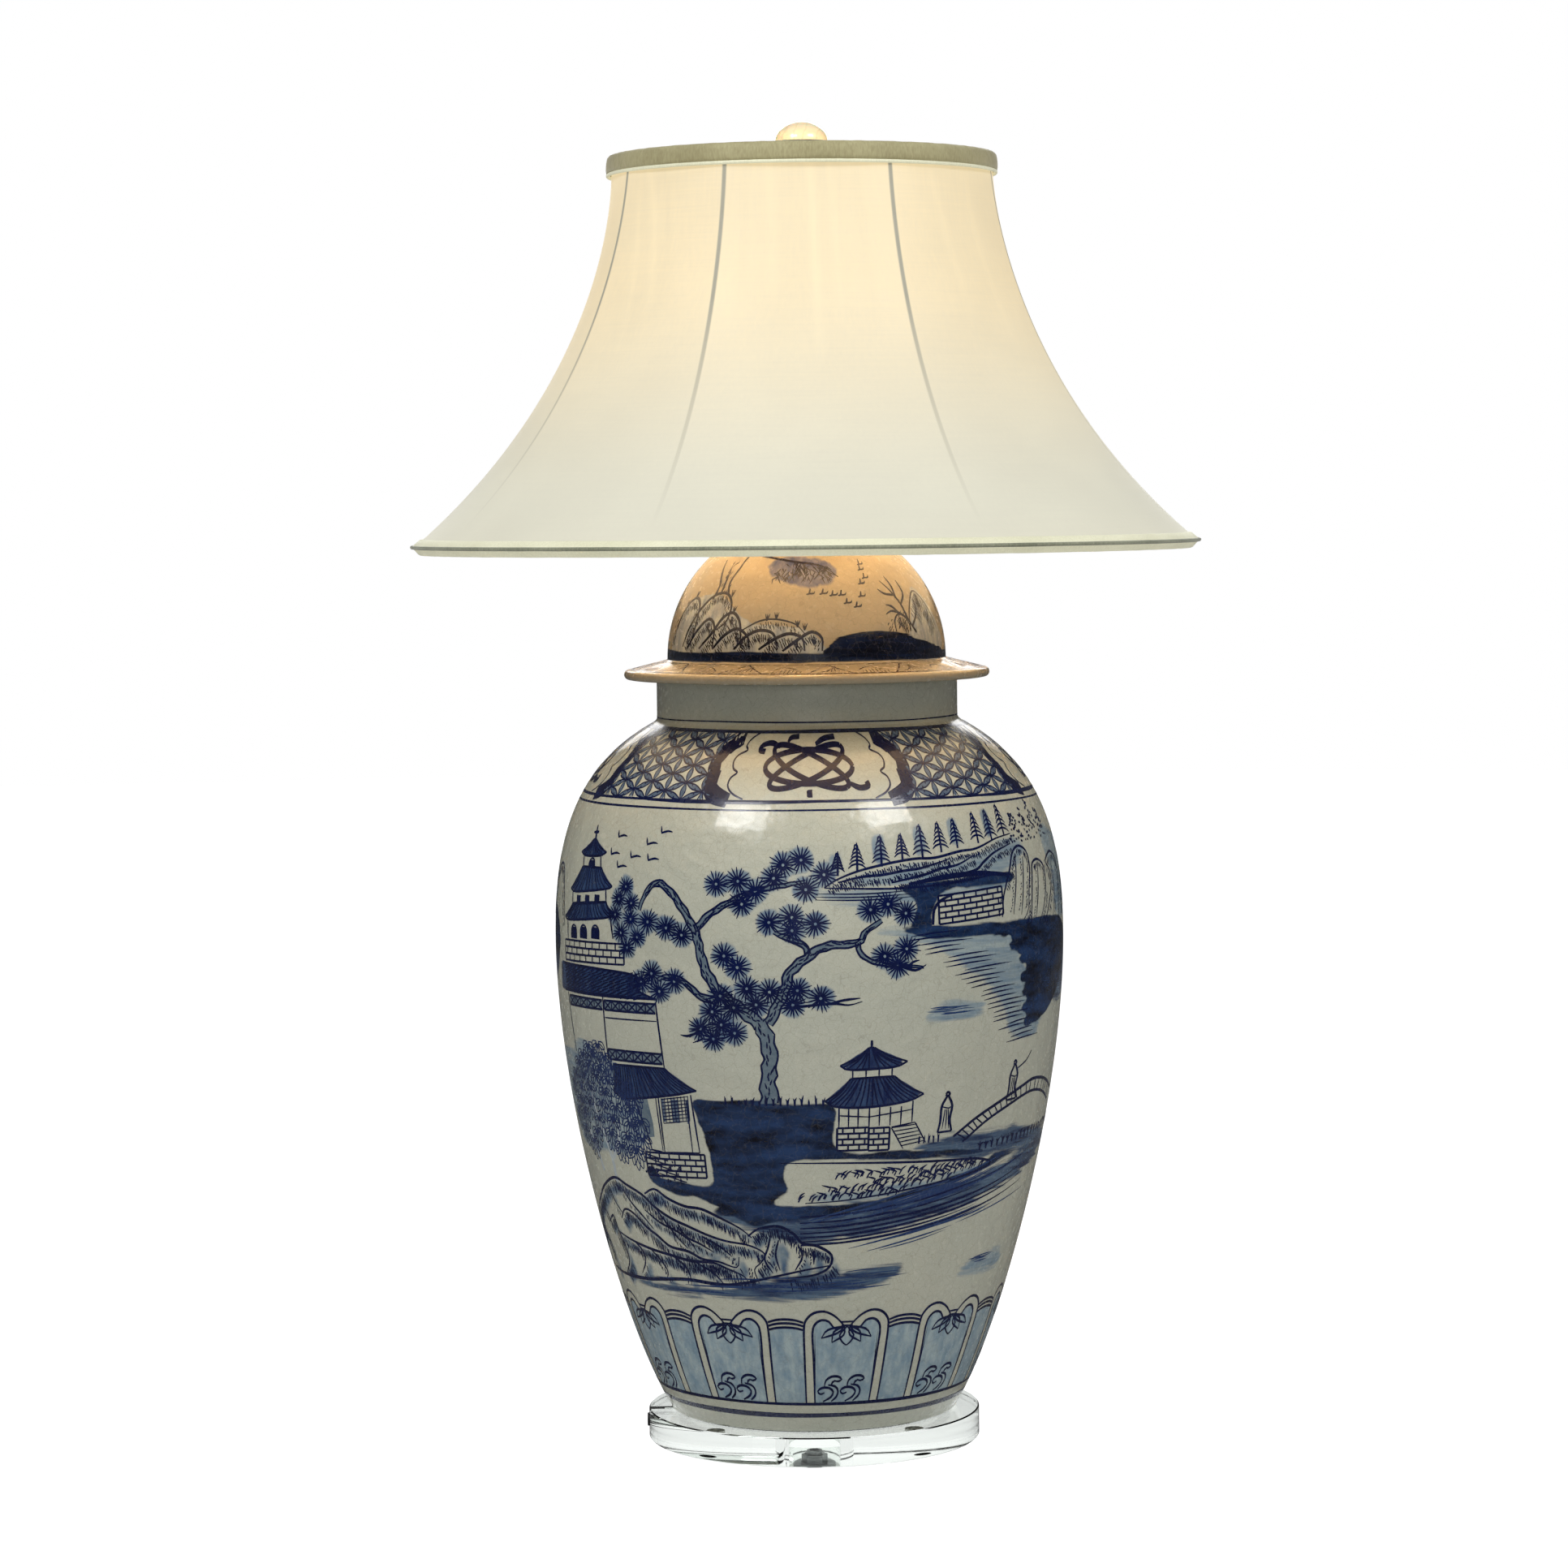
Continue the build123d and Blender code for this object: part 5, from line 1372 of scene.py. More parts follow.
for height, angles in (
    (272, (-62, -57)), (266, (-66, -60, -54)), (259, (-69, -63, -57, -51)), (251, (-72, -66, -60, -54, -48)),
    (243, (-75, -69, -63, -56, -50, -46)), (234, (-72, -66, -59, -52, -46)),
    (225, (-75, -69, -62, -54, -48, -44)), (216, (-72, -64, -56, -50, -45)), (208, (-67, -53, -48)),
):
    for angle in angles:
        spray(angle + rng.uniform(-0.8, 0.8), height + rng.uniform(-1.5, 1.5), 11.5, 7)
for trunk in (
    [(-58, 180), (-58, 194), (-59.4, 208), (-62, 224), (-63, 240)], [(-57.4, 196), (-54, 208), (-52, 220)],
    [(-64, 186), (-66, 200), (-70, 216)],
):
    draw("pale_washes", trunk, 2.6, 1.0, 0.5)


spray_ink = ink("cobalt_spray", colour(38, 54, 92), colour(18, 32, 70))
trunk_ink = ink("cobalt_pale", colour(168, 176, 176), colour(146, 156, 164), 160.0)
for name, material in (
    ("ring_lines", line_ink), ("lappet_lines", line_ink), ("window_borders", dark_ink),
    ("lattice_washes", leaf_ink), ("leaf_washes", leaf_ink), ("pale_washes", trunk_ink),
    ("lattice_lines", line_ink), ("bark_washes", bark_ink), ("tree_lines", line_ink),
    ("pine_needles", needle_ink), ("fir_lines", needle_ink), ("ground_lines", line_ink),
    ("building_lines", line_ink), ("water_lines", roof_ink), ("reed_lines", needle_ink),
    ("leaf_lines", spray_ink),
):
    finish_strokes(name, jar_heights, material)

# ---- Lid
# The lid is thrown on its own: a dome, a thin sloping flange, and a collar that sits inside the neck. It is
# painted with rocks, a bare tree, a pine bough and a flight of birds over a dark band, and its rim is bare.
DOME_R = 90.2
DOME_IN_R = 85.2
DOME_Z = 510.0
PIPE_HOLE_R = 5.4
COLLAR_R = 88.4
COLLAR_IN_R = 83.4
COLLAR_FOOT_Z = 479
FLANGE_TOP = (91.6, 509.0)             # where the flange's slope begins, at the foot of the dome
FLANGE_OUT = 24.0                      # how far the slope runs out, and how far it falls
FLANGE_FALL = 6.0
FLANGE_TIP_R = FLANGE_TOP[0] + FLANGE_OUT
FLANGE_RUN = 24.74                     # the flange's slope from its rim to the dome
FOOT_RUN = FLANGE_RUN + 1.8            # from the rim to the foot of the dome
LID_DEGREE = DOME_R * math.pi / 180

sweep = np.linspace(math.asin(PIPE_HOLE_R / DOME_R), math.pi / 2, 70)
lid_outer = [(DOME_R * math.sin(turn), DOME_Z + DOME_R * math.cos(turn)) for turn in sweep]
lid_slope = [(90.5, 509.6), FLANGE_TOP] + [
    (FLANGE_TOP[0] + FLANGE_OUT * share, FLANGE_TOP[1] - FLANGE_FALL * share)
    for share in np.linspace(0.1, 1, 10)
]
lid_rim = [
    (FLANGE_TIP_R + 2.8 * math.sin(turn), 500.0 + 3.0 * math.cos(turn))
    for turn in np.linspace(0.35, math.pi, 8)
]
lid_under = [
    (104, RIM_Z), (COLLAR_R, RIM_Z), (COLLAR_R, 488), (COLLAR_R, COLLAR_FOOT_Z), (COLLAR_IN_R, COLLAR_FOOT_Z),
    (COLLAR_IN_R, RIM_Z), (DOME_IN_R, RIM_Z),
]
inner_sweep = np.linspace(math.pi / 2, math.asin(PIPE_HOLE_R / DOME_IN_R), 24)
lid_inner = [(DOME_IN_R * math.sin(turn), DOME_Z + DOME_IN_R * math.cos(turn)) for turn in inner_sweep]
lid = spun("lid_skin", lid_outer + lid_slope + lid_rim + lid_under + lid_inner, 300)


def dome_run(height):
    """How far up the lid's face a height on the dome is, from the flange's rim."""
    return FOOT_RUN + DOME_R * math.asin(max(-1.0, min(1.0, (height - DOME_Z) / DOME_R)))


def on_dome(points):
    """Given (degrees, height) points as (degrees, run up the lid's face)."""
    return [(angle, dome_run(height)) for angle, height in points]


lid_spots = places(lid)
lid_radius = np.hypot(lid_spots[:, 0], lid_spots[:, 1])
from_middle = np.hypot(lid_radius, lid_spots[:, 2] - DOME_Z)
lid_outside = (from_middle > DOME_R - 1) & (lid_spots[:, 2] > 502.9)
lid_runs = np.where(
    lid_spots[:, 2] >= DOME_Z,
    FOOT_RUN + DOME_R * np.arcsin(np.clip((lid_spots[:, 2] - DOME_Z) / DOME_R, -1, 1)),
    np.clip(FLANGE_RUN * (FLANGE_TIP_R - lid_radius) / FLANGE_OUT, 0, FOOT_RUN),
)
lid_face = np.stack(
    [np.degrees(np.arctan2(lid_spots[:, 0], -lid_spots[:, 1])) * LID_DEGREE, lid_runs], axis=1,
)

lid_band = [[(angle, dome_run(515.5 + 1.2 * math.sin(angle))) for angle in (-92, -60, -30, 0, 30, 60, 92)]
            + [(angle, FOOT_RUN - 0.5) for angle in (92, 60, 30, 0, -30, -60, -92)]]
lid_hills = [on_dome([
    (6, 513), (9, 521), (15, 526), (28, 529), (42, 527), (58, 521), (72, 517), (72, 510), (30, 510), (8, 511),
])]
lid_pale = [on_dome(outline) for outline in (
    [(-72, 512), (-70, 532), (-64, 546), (-58, 550), (-50, 552), (-42, 552), (-35, 546), (-30, 540),
     (-22, 534), (-10, 533), (0, 530), (6, 522), (6, 512), (-30, 511)],
    [(48, 516), (50, 536), (55, 550), (60, 556), (68, 546), (74, 528), (74, 516)],
)]
lid_mid = [on_dome([(-20, 566), (-10, 560), (2, 557), (12, 560), (16, 568), (8, 574), (-6, 576), (-18, 574)])]
for mask, washes, smooth in (
    ("pale", lid_pale, True), ("mid", lid_mid, True), ("dark", lid_hills, True), ("band", lid_band, False),
):
    depth = wash_depth(lid_face, washes, SCENE_TURNS, smooth, LID_DEGREE)
    add_mask(lid, mask, np.where(lid_outside, depth, FAR_OUT))
add_mask(lid, "rim_line", np.where(lid_outside, 0.9 - np.abs(lid_runs - 2.4), FAR_OUT))
# The lid's ground is the jar's glaze painted darker and warmer: painted shade, and the bulb's warm light
# painted in; its middle wash and rim line lean purple for the same painted light.
lid.data.materials.append(glazed("lid_glaze", (
    ("pale", UP_STREAKS, 1.0, 0.6, colour(176, 176, 164), colour(128, 134, 140)),
    ("mid", UP_STREAKS, 1.6, 1.6, colour(112, 112, 124), colour(70, 76, 104)),
    ("dark", LEVEL_STREAKS, 1.4, 0.5, colour(20, 32, 62), colour(4, 8, 28)),
    ("band", LEVEL_STREAKS, 0.7, 0.5, colour(26, 38, 68), colour(6, 12, 36)),
    ("rim_line", UP_STREAKS, 0.2, 0.3, colour(60, 54, 60), colour(34, 32, 46)),
), colour(166, 152, 126), colour(150, 138, 118)))
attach(lid, "lamp_body")
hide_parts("lid")

lid_profile = lid_slope[::-1][:-1] + [(90.5, 509.6)] + lid_outer[::-1]
for piece in ("lid_lines", "flange_lines"):
    per_degree[piece] = LID_DEGREE
lid_skin = skin_of(lid_profile, DOME_R, by_run=True)

# rocks like overlapping shells, each with fine shading strokes on its dark side
for shell in (
    [(-72, 518), (-70, 532), (-66, 544), (-60, 550), (-55, 546), (-54, 534), (-56, 519)],
    [(-62, 519), (-58, 532), (-52, 545), (-46, 552), (-39, 553), (-35, 546), (-36, 536), (-41, 530)],
    [(-58, 518), (-52, 530), (-46, 537), (-42, 532), (-42, 519)],
    [(-50, 518), (-43, 528), (-38, 538), (-33, 541), (-29, 534), (-28, 519)],
    [(-42, 518), (-36, 527), (-30, 531), (-25, 526), (-24, 518)],
    [(-31, 518), (-26, 526), (-20, 530), (-14, 528), (-12, 518)],
    [(-20, 518), (-13, 525), (-7, 528), (-2, 525), (-1, 517)],
    [(-10, 517), (-4, 524), (2, 529), (6, 525), (6, 517)],
):
    ridge(on_dome(shell), 5.0, 0.3, 1.6, 1.7, 0.55, 2, "lid_lines")
ridge(
    on_dome([(-28, 530), (-20, 536), (-13, 537), (-5, 534), (-1, 528)]), 4, 0.4, 0.9, 2.0, 0.45, 2,
    "lid_lines",
)
for angle, height in (
    (-66, 545), (-60, 551), (-36, 552), (-33, 542), (-17, 537), (-13, 538), (-4, 533), (-1, 531),
):
    for lean in (-0.8, 0.2, 1.2):
        draw("lid_lines", on_dome([(angle, height - 1), (angle + lean, height + 3.4)]), 0.7, 0.9, 0.3)
# the bare trunk, its bough with needles, and the bare shrub on the right
for edge in (
    [(-47, 549), (-46, 558), (-49, 566), (-52, 574)],
    [(-38, 552), (-40, 560), (-38, 568), (-36, 576), (-30, 582)], [(-43, 552), (-43, 562), (-44, 570)],
):
    draw("lid_lines", on_dome(edge), 1.4, 0.8, 0.5)
for _ in range(26):
    angle = rng.uniform(-46, -39)
    height = rng.uniform(552, 574)
    draw(
        "lid_lines",
        on_dome([(angle, height), (angle + rng.uniform(0.2, 1.2), height + rng.uniform(1.4, 3))]), 0.5, 0.8,
        0.3,
    )
for _ in range(95):
    angle = rng.uniform(-17, 12)
    height = 568 - 0.22 * abs(angle + 4) + rng.uniform(-4, 5)
    lean = rng.uniform(-3.4, 3.4)
    draw(
        "lid_lines", on_dome([(angle, height), (angle + lean, height + rng.uniform(-5.5, -1.5))]), 0.6, 0.9,
        0.3,
    )
draw("lid_lines", on_dome([(-36, 578), (-24, 576), (-8, 573), (8, 570), (16, 563)]), 1.4, 0.9, 0.3)
for branch in (
    [(52, 527), (48, 536), (46, 545), (42, 554), (38, 560)], [(48, 536), (43, 540), (39, 541), (36, 539)],
    [(46, 545), (50, 552), (49, 560)], [(43, 551), (38, 552), (35, 555)], [(50, 531), (55, 540), (56, 549)],
    [(43, 540), (40, 544), (37, 545)], [(44, 549), (44, 557), (42, 563)],
):
    draw("lid_lines", on_dome(branch), 1.3, 0.9, 0.3)
ridge(
    on_dome([(40, 528), (40, 535), (43, 539), (47, 536), (49, 528)]), 6, 0.1, 0.9, 2.0, 0.45, 2,
    "lid_lines",
)
ridge(
    on_dome([(48, 528), (50, 540), (55, 550), (60, 553), (66, 544), (70, 530)]), 8, 0.1, 0.9, 2.0, 0.45, 3,
    "lid_lines",
)
for angle, height in (
    (1, 554), (7, 554), (11.5, 553), (15.5, 553), (17.6, 548), (22, 545.6), (25, 552), (26.6, 560),
    (29.6, 563.4), (29, 568.6), (30, 572),
):
    draw(
        "lid_lines",
        on_dome([(angle - 1.2, height - 1.6), (angle, height - 1.2), (angle + 0.7, height + 1.8)]), 1.0,
        0.5, 0.6, step=1.2,
    )
    draw(
        "lid_lines",
        on_dome([(angle, height - 1.2), (angle + 2.2, height - 1.0), (angle + 2.8, height + 0.4)]), 0.9,
        0.9, 0.3, step=1.2,
    )
# The lid's cobalt lines are tinted purple: the bulb's warm light painted in.
finish_strokes("lid_lines", lid_skin, surfaced(
    "lid_line", colour(28, 26, 48), colour(12, 12, 34), 60.0, (0.2, 0.32), 0.08, 260.0, IOR=1.5,
    Coat_Weight=0.25, Coat_Roughness=0.06,
))

# the flange: a border of fans and hatched wedges between its two lines
FANS = 12
for fan in range(FANS):
    start = 360 / FANS * fan
    turns = (start,)
    draw("flange_lines", [(0, 3.4), (4, 13), (7.5, 21.5)], 0.8, 0.9, 0.9, turns)
    draw("flange_lines", [(15, 3.4), (11, 13), (7.5, 21.5)], 0.8, 0.9, 0.9, turns)
    for hatch in range(6):
        draw(
            "flange_lines", [(3.2 + hatch * 1.5, 5 + 0.5 * hatch), (7.0 + hatch * 0.6, 9 + 1.9 * hatch)],
            0.4, 0.8, 0.5, turns,
        )
    arc = [(17 + 1.3 * spoke, 8.5 + 7.5 * math.sin(math.pi * spoke / 8)) for spoke in range(9)]
    draw("flange_lines", arc, 0.7, 0.9, 0.9, turns)
    for spoke in range(1, 9):
        foot = (17 + 1.3 * spoke, 4)
        draw(
            "flange_lines", [foot, (foot[0] + 0.5, 6 + 6 * math.sin(math.pi * spoke / 9))], 0.4, 0.9, 0.5,
            turns,
        )
for height, width in ((2.6, 1.3), (23.0, 0.6)):
    line = [(angle, height) for angle in range(0, 361, 3)]
    draw("flange_lines", line, width, 1, 1, (0,), step=6)
# The flange's cobalt lines are tinted brown: the bulb's warm light painted in.
finish_strokes("flange_lines", lid_skin, surfaced(
    "flange_line", colour(92, 74, 68), colour(62, 52, 56), 60.0, (0.2, 0.32), 0.08, 260.0, IOR=1.5,
    Coat_Weight=0.25, Coat_Roughness=0.06,
))

# ---- Socket, switch and harp
# Spun and drawn brass: vase cap, socket cup and shell with a fluted knob, a bent harp wire with its ferrules
# and swivel stud. Inside are a paper sleeve, a black moulding, and the bulb's aluminium screw cap.
brass = surfaced(
    "lacquered_brass", colour(212, 172, 96), colour(176, 134, 66), 45.0, (0.16, 0.36), 0.16, Metallic=1.0,
    Coat_Weight=0.3, Coat_Roughness=0.15,
)
dress(brass, "vase_cap", "cap_locknut", "harp_saddle", "socket_cap", "socket_shell", "switch_shaft")
dress(brass, "harp_bow", "harp_ferrule_left", "harp_ferrule_right", "harp_stud", "terminal_screws")
dress(black_plastic, "switch_knob", "socket_block")
paper_sleeve = surfaced(
    "sleeve_paper", colour(186, 160, 118), colour(160, 132, 92), 220.0, (0.7, 0.9), 0.5, 1500.0,
)
dress(paper_sleeve, "socket_sleeve")
aluminium = surfaced(
    "spun_aluminium", colour(196, 198, 200), colour(160, 162, 165), 70.0, (0.22, 0.42), 0.2, Metallic=1.0,
)
dress(aluminium, "screw_shell", "bulb_cap")
dress(brass, "centre_contact", "bulb_tip")

# ---- Bulb
# A pear-shaped bulb of frosted glass on a screw cap, screwed into the socket, and lit. Its warm glow fills
# the shade and falls on the lid and the jar's shoulder.
frosted, frosted_tree, frosted_shader = finish(
    "frosted_glass", Roughness=0.35, IOR=1.5, Emission_Strength=50.0, Base_Color=(0.9, 0.86, 0.78, 1),
)
glow_place = node(frosted_tree, "TexCoord").outputs["Object"]
glow_share = noise(frosted_tree, glow_place, 60.0, 3.0)
glow_tint = mix(frosted_tree, glow_share, (1.0, 0.56, 0.22, 1), (1.0, 0.62, 0.28, 1))
links(frosted_tree, (glow_tint, frosted_shader.inputs["Emission Color"]))
dress(frosted, "bulb_glass")

# ---- Shade frame
# Eight steel wire ribs soldered to two rings, wrapped in cotton tape that the silk is sewn to, and the
# plated spider whose three arms carry the top ring from the washer on the harp's stud.
frame_wire = surfaced(
    "wrapped_wire", colour(206, 200, 178), colour(176, 168, 146), 300.0, (0.55, 0.75), 0.5, 1800.0,
)
dress(frame_wire, "shade_frame")
plated = surfaced(
    "plated_wire", colour(188, 180, 160), colour(150, 142, 124), 60.0, (0.2, 0.4), 0.2, Metallic=1.0,
)
dress(plated, "shade_spider")

# ---- Shade
# Cream silk stretched over eight ribs and sewn to them, drawn in between, over a bonded lining. The light
# through the silk is painted as a glow, warm at the top and cooler towards the foot, and the ribs' shadows
# are painted on it as thin dark lines.
BELL_FOOT = (252.4, 583.92)
BELL_TOP = (122.7, 830.42)
RIB_ANGLES = (-63, -23, 26, 77, 121, 165, 209, 253)
PANEL_SAG = 3.5
BELL_STEPS = 72
bell = bezier(BELL_FOOT, -48.8, 156.4, BELL_TOP, -4.0, 21.7, BELL_STEPS)
bell_along = np.gradient(bell, axis=0)
bell_along /= np.linalg.norm(bell_along, axis=1)[:, None]
bell_out = np.stack([bell_along[:, 1], -bell_along[:, 0]], axis=1)
bell_share = np.linspace(0, 1, BELL_STEPS)
bell_run = np.concatenate([[0], np.cumsum(np.linalg.norm(np.diff(bell, axis=0), axis=1))])


def rib_gap(angles):
    """For angles from the front: degrees to the nearest rib, and the place across the panel from -1 to 1."""
    ends = np.array(RIB_ANGLES + (RIB_ANGLES[0] + 360,), float)
    turned = (angles - ends[0]) % 360 + ends[0]
    panel = np.clip(np.searchsorted(ends, turned, side="right") - 1, 0, len(ends) - 2)
    low, high = ends[panel], ends[panel + 1]
    across = (turned - low) / (high - low) * 2 - 1
    return np.minimum(turned - low, high - turned), across


def panelled(name, depth, wall):
    """A layer of the shade: the bell's line moved in by a depth, spun, and drawn in between the ribs."""
    outside = bell - bell_out * depth
    inside = bell - bell_out * (depth + wall)
    piece = spun(name, [tuple(point) for point in outside] + [tuple(point) for point in inside[::-1]], 360)
    spots = places(piece)
    angles = np.degrees(np.arctan2(spots[:, 0], -spots[:, 1]))
    radius = np.hypot(spots[:, 0], spots[:, 1])
    share = np.interp(spots[:, 2], bell[:, 1], bell_share)
    gap, across = rib_gap(angles)
    pulled = radius - PANEL_SAG * np.sin(math.pi * share) * (1 - across ** 2)
    spots[:, :2] *= (pulled / radius)[:, None]
    piece.data.vertices.foreach_set("co", (spots * MM).astype(np.float32).ravel())
    piece.data.update()
    add_mask(piece, "rib_gap", np.radians(gap) * radius)
    add_mask(piece, "rise", share)
    return piece, angles, share


def lit_cloth():
    """Node group: slubbed silk, the light through it painted as a glow that fades down the shade,
    with a painted shadow along each rib in its glow and, at half strength, in its colour.
    """
    group, given, put = node_group("lit_cloth", (
        ("Lit Top", "Color"), ("Lit Low", "Color"), ("Cloth", "Color"), ("Worn Cloth", "Color"),
        ("Rib Line", "Color"), ("Line Width", "Float"),
    ), (("Glow", "Color"),) + SURFACE)
    place = node(group, "TexCoord").outputs["Object"]
    upright = node(group, "Mapping", {"Vector": place, "Scale": (420.0, 420.0, 9.0)}).outputs[0]
    level = node(group, "Mapping", {"Vector": place, "Scale": (16.0, 16.0, 700.0)}).outputs[0]
    slub = noise(group, upright, 1.0, 3.0)
    weave = node(group, "Math", {0: slub, 1: noise(group, level, 1.0, 3.0)}, operation="ADD").outputs[0]
    patches = noise(group, place, 9.0, 2.0)
    rise, fold_light, gap = (
        node(group, "Attribute", attribute_name=mask).outputs["Fac"] for mask in ("rise", "fold_light", "rib_gap")
    )
    # the light through the silk, painted as a glow that is brighter towards the top
    ramp = spread(group, rise, 0.06, 0.58, 0, 1, interpolation_type="SMOOTHSTEP")
    glow = mix(group, ramp, given["Lit Low"], given["Lit Top"])
    woven = spread(group, weave, 0.6, 1.4, 0.93, 1.07)
    patched = spread(group, patches, 0.3, 0.7, 0.93, 1.05)
    threads = node(group, "Math", {0: woven, 1: patched}, operation="MULTIPLY").outputs[0]
    # painted light and shade of the silk's folds, in its glow
    lifted = node(group, "Math", {0: threads, 1: fold_light}, operation="ADD").outputs[0]
    grey = node(group, "CombineColor", {0: lifted, 1: lifted, 2: lifted}).outputs[0]
    glow = mix(group, 1.0, glow, grey, blend_type="MULTIPLY")
    # the painted rib shadows: dark lines along each rib, fading out towards the foot
    half_width = node(group, "Math", {0: given["Line Width"], 1: 0.35}, operation="MULTIPLY").outputs[0]
    near = spread(group, gap, half_width, given["Line Width"], 1, 0, interpolation_type="SMOOTHSTEP")
    fading = spread(group, rise, 0.04, 0.5, 0, 1)
    rib = node(group, "Math", {0: near, 1: fading}, operation="MULTIPLY").outputs[0]
    cloth = mix(group, spread(group, weave, 0.6, 1.4, 0, 1), given["Cloth"], given["Worn Cloth"])
    half_rib_shadow = node(group, "Math", {0: rib, 1: 0.5}, operation="MULTIPLY").outputs[0]
    relief = node(group, "Bump", {"Strength": 0.25, "Distance": 0.0003, "Height": weave}).outputs[0]
    links(
        group, (mix(group, rib, glow, given["Rib Line"]), put["Glow"]),
        (mix(group, half_rib_shadow, cloth, given["Rib Line"]), put["Colour"]),
        (spread(group, weave, 0.6, 1.4, 0.5, 0.68), put["Roughness"]), (relief, put["Normal"]),
    )
    return group


cloth_group = lit_cloth()


def silk(name, lit_top, lit_low, cloth, strength, line, rib_shadow_width):
    """Silk stretched over the ribs, its light painted as a glow, with painted rib shadows of the given
    line colour and width.
    """
    material, tree, shader = finish(
        name, Sheen_Weight=0.25, Sheen_Roughness=0.4, Emission_Strength=strength, Specular_IOR_Level=0.25,
    )
    worn = tuple(level * 0.88 for level in cloth[:3]) + (1.0,)
    woven = fed(tree, shader, cloth_group, {
        "Lit Top": lit_top, "Lit Low": lit_low, "Cloth": cloth, "Worn Cloth": worn, "Rib Line": line,
        "Line Width": rib_shadow_width,
    })
    links(tree, (woven["Glow"], shader.inputs["Emission Color"]))
    return material


def fold_light_streaks(angles, share):
    """Faint pulls in the silk, painted as soft streaks of light and shade: (angle, share) from end to end of
    each.
    """
    lift = np.zeros(len(angles))
    for start, end, wide, strength in (
        ((-52, 0.92), (-43, 0.5), 1.4, 0.07), ((-56, 0.8), (-49, 0.42), 1.1, 0.05),
        ((-46, 0.95), (-40, 0.6), 1.2, -0.04),
        ((2, 0.97), (3.5, 0.42), 1.2, 0.09), ((8, 0.95), (9, 0.5), 1.0, 0.05),
        ((-10, 0.95), (-8, 0.55), 1.6, 0.05),
        ((-17, 0.9), (-16, 0.5), 1.2, -0.03), ((15, 0.9), (17, 0.5), 1.6, -0.03),
        ((40, 0.9), (46, 0.5), 1.6, 0.05),
        ((56, 0.85), (60, 0.45), 1.6, 0.04), ((96, 0.9), (99, 0.5), 1.5, 0.05),
        ((140, 0.9), (143, 0.45), 1.4, 0.05),
        ((184, 0.92), (186, 0.45), 1.5, 0.06), ((230, 0.9), (226, 0.5), 1.5, 0.05),
        ((268, 0.9), (272, 0.5), 1.5, 0.04),
    ):
        along = np.clip((share - start[1]) / (end[1] - start[1]), 0, 1)
        middle = start[0] + (end[0] - start[0]) * along
        off = (angles - middle + 180) % 360 - 180
        fade = np.sin(math.pi * np.clip((share - end[1] + 0.08) / (start[1] - end[1] + 0.12), 0, 1)) ** 0.7
        lift += strength * fade * np.exp(-(off / wide) ** 2)
    return lift


cover, cover_angles, cover_share = panelled("silk_cover", 0.0, 0.8)
add_mask(cover, "fold_light", fold_light_streaks(cover_angles, cover_share))
# The cover's glow is the light through the silk, painted in, and its last colour is its painted rib shadows.
cover.data.materials.append(silk(
    "lit_silk", (0.66, 0.52, 0.29, 1), (0.44, 0.43, 0.34, 1), (0.30, 0.29, 0.25, 1), 1.0,
    (0.17, 0.16, 0.12, 1), 2.0,
))
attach(cover, "shade")
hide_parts("shade_cover")

lining, lining_angles, lining_share = panelled("silk_lining", 4.4, 0.5)
add_mask(lining, "fold_light", fold_light_streaks(lining_angles, lining_share) * 0.4)
# The lining's glow is the bulb's light on it, painted in, with painted rib shadows.
lining.data.materials.append(silk(
    "lining_silk", (1.0, 0.74, 0.42, 1), (0.8, 0.62, 0.38, 1), (0.8, 0.76, 0.66, 1), 0.8,
    (0.4, 0.32, 0.2, 1), 3.0,
))
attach(lining, "shade")
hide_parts("shade_lining")


def edge_place(top, depth, out):
    """A point in the shade's wall: so far in from its top or foot edge, and so far out of its face."""
    run = bell_run[-1] - depth if top else depth
    within = min(max(run, 0), bell_run[-1])
    point = np.array([np.interp(within, bell_run, bell[:, side]) for side in (0, 1)])
    along = np.array([np.interp(within, bell_run, bell_along[:, side]) for side in (0, 1)])
    outward = np.array([along[1], -along[0]])
    return tuple(point + (run - within) * along + out * outward)


def trim(name, outline, steps, gathers, material):
    """A band of folded cloth round the shade, with the small puckers that its turned edge throws."""
    piece = spun(name, outline, steps)
    spots = places(piece)
    angles = np.arctan2(spots[:, 0], -spots[:, 1])
    radius = np.hypot(spots[:, 0], spots[:, 1])
    pucker = gathers * (
        np.sin(angles * 61 + np.sin(angles * 5) * 4 + spots[:, 2] * 0.5) * np.sin(angles * 13 + 1.0)
    )
    spots[:, :2] *= ((radius + pucker) / radius)[:, None]
    spots[:, 2] += pucker * 0.5
    piece.data.vertices.foreach_set("co", (spots * MM).astype(np.float32).ravel())
    piece.data.update()
    piece.data.materials.append(material)
    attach(piece, "shade")
    return piece


def round_outline(centre, radius):
    """A round section as outline points."""
    return [
        (centre[0] + radius * math.cos(turn), centre[1] + radius * math.sin(turn))
        for turn in np.linspace(0, 2 * math.pi, 12, endpoint=False)
    ]


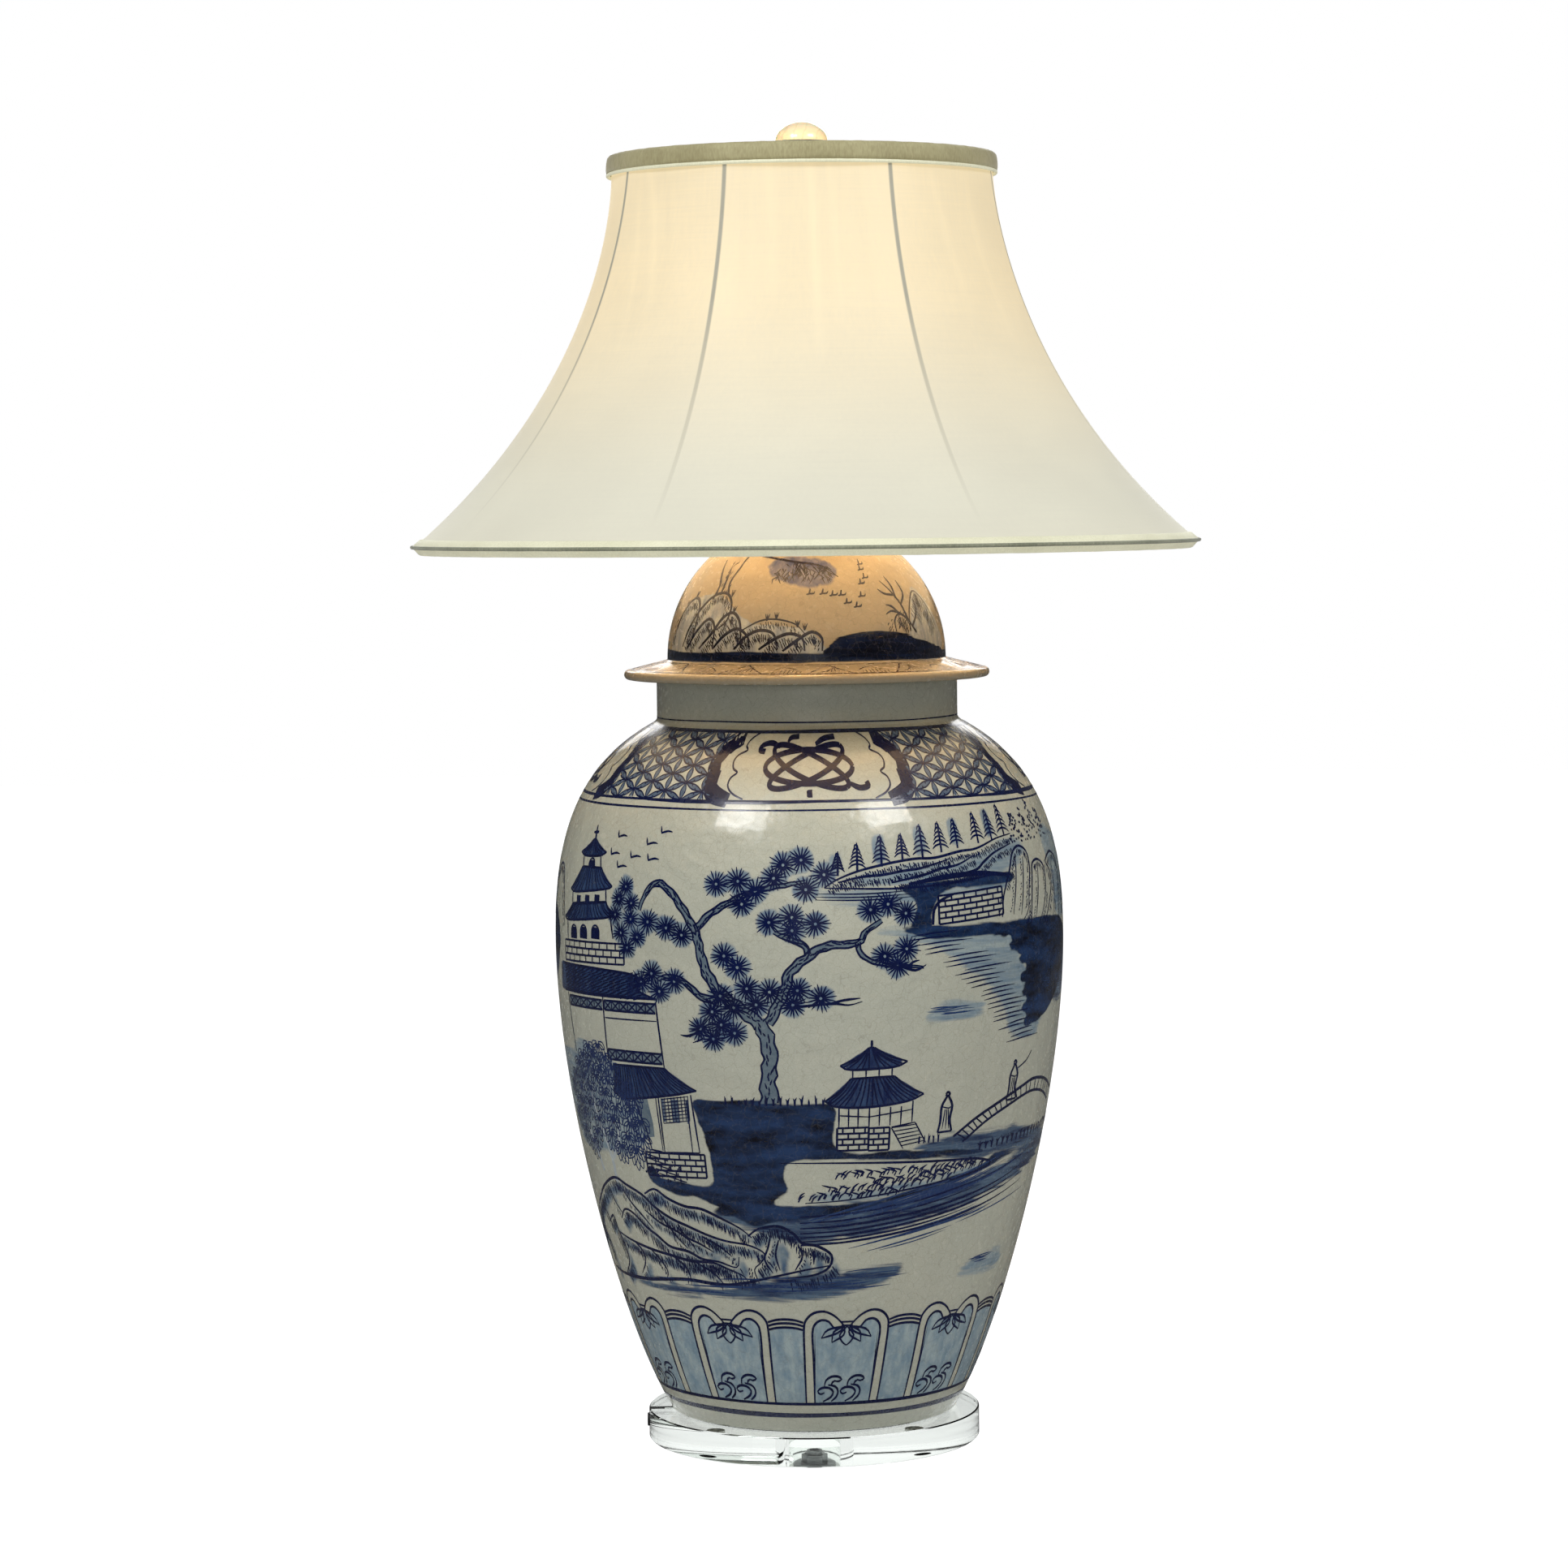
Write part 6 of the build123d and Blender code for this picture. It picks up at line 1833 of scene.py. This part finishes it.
def bias_weave():
    """Node group: the fine slanting threads of tape cut on the bias."""
    group, given, put = node_group("bias_weave", (("Tint", "Color"), ("Deep Tint", "Color")), SURFACE)
    place = node(group, "TexCoord").outputs["Object"]
    slant = {"Vector": place, "Rotation": (0.6, 0.5, 0.0), "Scale": (900.0, 900.0, 260.0)}
    threads = noise(group, node(group, "Mapping", slant).outputs[0], 1.0, 3.0)
    both = node(group, "Math", {0: threads, 1: noise(group, place, 26.0, 4.0)}, operation="ADD").outputs[0]
    tint = mix(group, spread(group, both, 0.75, 1.25, 0, 1), given["Tint"], given["Deep Tint"])
    rough = spread(group, threads, 0, 1, 0.5, 0.75)
    relief = node(group, "Bump", {"Strength": 0.4, "Distance": 0.0004, "Height": threads}).outputs[0]
    links(group, (tint, put["Colour"]), (rough, put["Roughness"]), (relief, put["Normal"]))
    return group


weave_group = bias_weave()


def tape(name, tint, deep, glow_tint, strength):
    """Bias-cut silk tape, lightly lit through."""
    material, tree, shader = finish(
        name, Sheen_Weight=0.3, Emission_Strength=strength, Specular_IOR_Level=0.3, Emission_Color=glow_tint,
    )
    fed(tree, shader, weave_group, {"Tint": tint, "Deep Tint": deep})
    return material


sage = tape("sage_tape", colour(150, 146, 112), colour(124, 120, 88), (0.30, 0.24, 0.12, 1), 0.3)
pale_tape = tape("pale_tape", colour(186, 186, 164), colour(166, 166, 142), (0.36, 0.35, 0.25, 1), 0.9)
grey_piping = tape("grey_piping", colour(136, 138, 118), colour(100, 104, 86), (0.1, 0.1, 0.07, 1), 0.4)

# the rolled top binding, with a narrow piping sewn under it
top_roll = [edge_place(True, depth, out) for depth, out in (
    (8.6, 0.5), (8.9, 1.4), (8.3, 2.4), (6.8, 2.8), (4.2, 2.95), (1.4, 2.9), (-0.9, 2.5), (-2.3, 1.5),
    (-2.8, -0.2),
    (-2.8, -3.4), (-2.2, -5.6), (-0.6, -6.3), (2.2, -6.4), (5.0, -6.4), (5.0, -5.5), (-0.4, -5.5),
    (-0.4, 0.4), (4.0, 0.45),
)]
top_band = trim("top_roll", top_roll, 360, 0.16, sage)
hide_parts("shade_top_binding")
top_piping = trim("top_piping", round_outline(edge_place(True, 9.9, 1.35), 1.15), 360, 0.05, pale_tape)

# the foot's flat tape, with a grey-green piping along its lower edge
foot_tape = [edge_place(False, depth, out) for depth, out in (
    (6.2, 0.4), (6.3, 0.9), (5.6, 1.25), (3.0, 1.3), (0.4, 1.3), (-0.9, 1.0), (-1.2, 0.0), (-1.2, -5.0),
    (-0.8, -6.2),
    (0.6, -6.4), (5.0, -6.4), (5.0, -5.5), (-0.4, -5.5), (-0.4, 0.4),
)]
foot_band = trim("foot_tape", foot_tape, 480, 0.14, pale_tape)
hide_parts("shade_foot_binding")
foot_piping = trim("foot_piping", round_outline(edge_place(False, -1.2, 1.0), 1.2), 480, 0.06, grey_piping)

# ---- Finial
# A turned ball of cream alabaster on a pewter foot, tapped to screw down on the harp's stud, where it
# holds the spider's washer.
pewter = surfaced(
    "pewter", colour(150, 142, 122), colour(112, 104, 88), 120.0, (0.35, 0.6), 0.4, 500.0, Metallic=0.85,
)
dress(pewter, "finial_foot")
# A faint warm glow is painted into the stone's emission.
alabaster, stone_tree, stone_shader = finish(
    "alabaster", Emission_Strength=0.06, Emission_Color=(1.0, 0.84, 0.6, 1), Subsurface_Weight=0.3,
    Subsurface_Scale=0.01, Coat_Weight=0.4, Coat_Roughness=0.12, IOR=1.53,
)
stone_place = node(stone_tree, "TexCoord").outputs["Object"]
cloud = noise(stone_tree, stone_place, 55.0, 6.0, Distortion=1.2)
stone_tint = mix(stone_tree, cloud, colour(238, 224, 188), colour(226, 206, 162))
banding = {"Vector": stone_place, "Scale": 38.0, "Distortion": 9.0, "Detail": 3.0}
vein = node(stone_tree, "TexWave", banding).outputs["Fac"]
stone_tint = mix(stone_tree, spread(stone_tree, vein, 0.9, 1.0, 0.0, 0.3), stone_tint, colour(206, 178, 128))
stone_relief = node(stone_tree, "Bump", {"Strength": 0.1, "Distance": 0.0004, "Height": cloud}).outputs[0]
links(
    stone_tree, (stone_tint, stone_shader.inputs["Base Color"]),
    (spread(stone_tree, cloud, 0.0, 1.0, 0.15, 0.35), stone_shader.inputs["Roughness"]),
    (stone_relief, stone_shader.inputs["Normal"]),
)
dress(alabaster, "finial_ball")
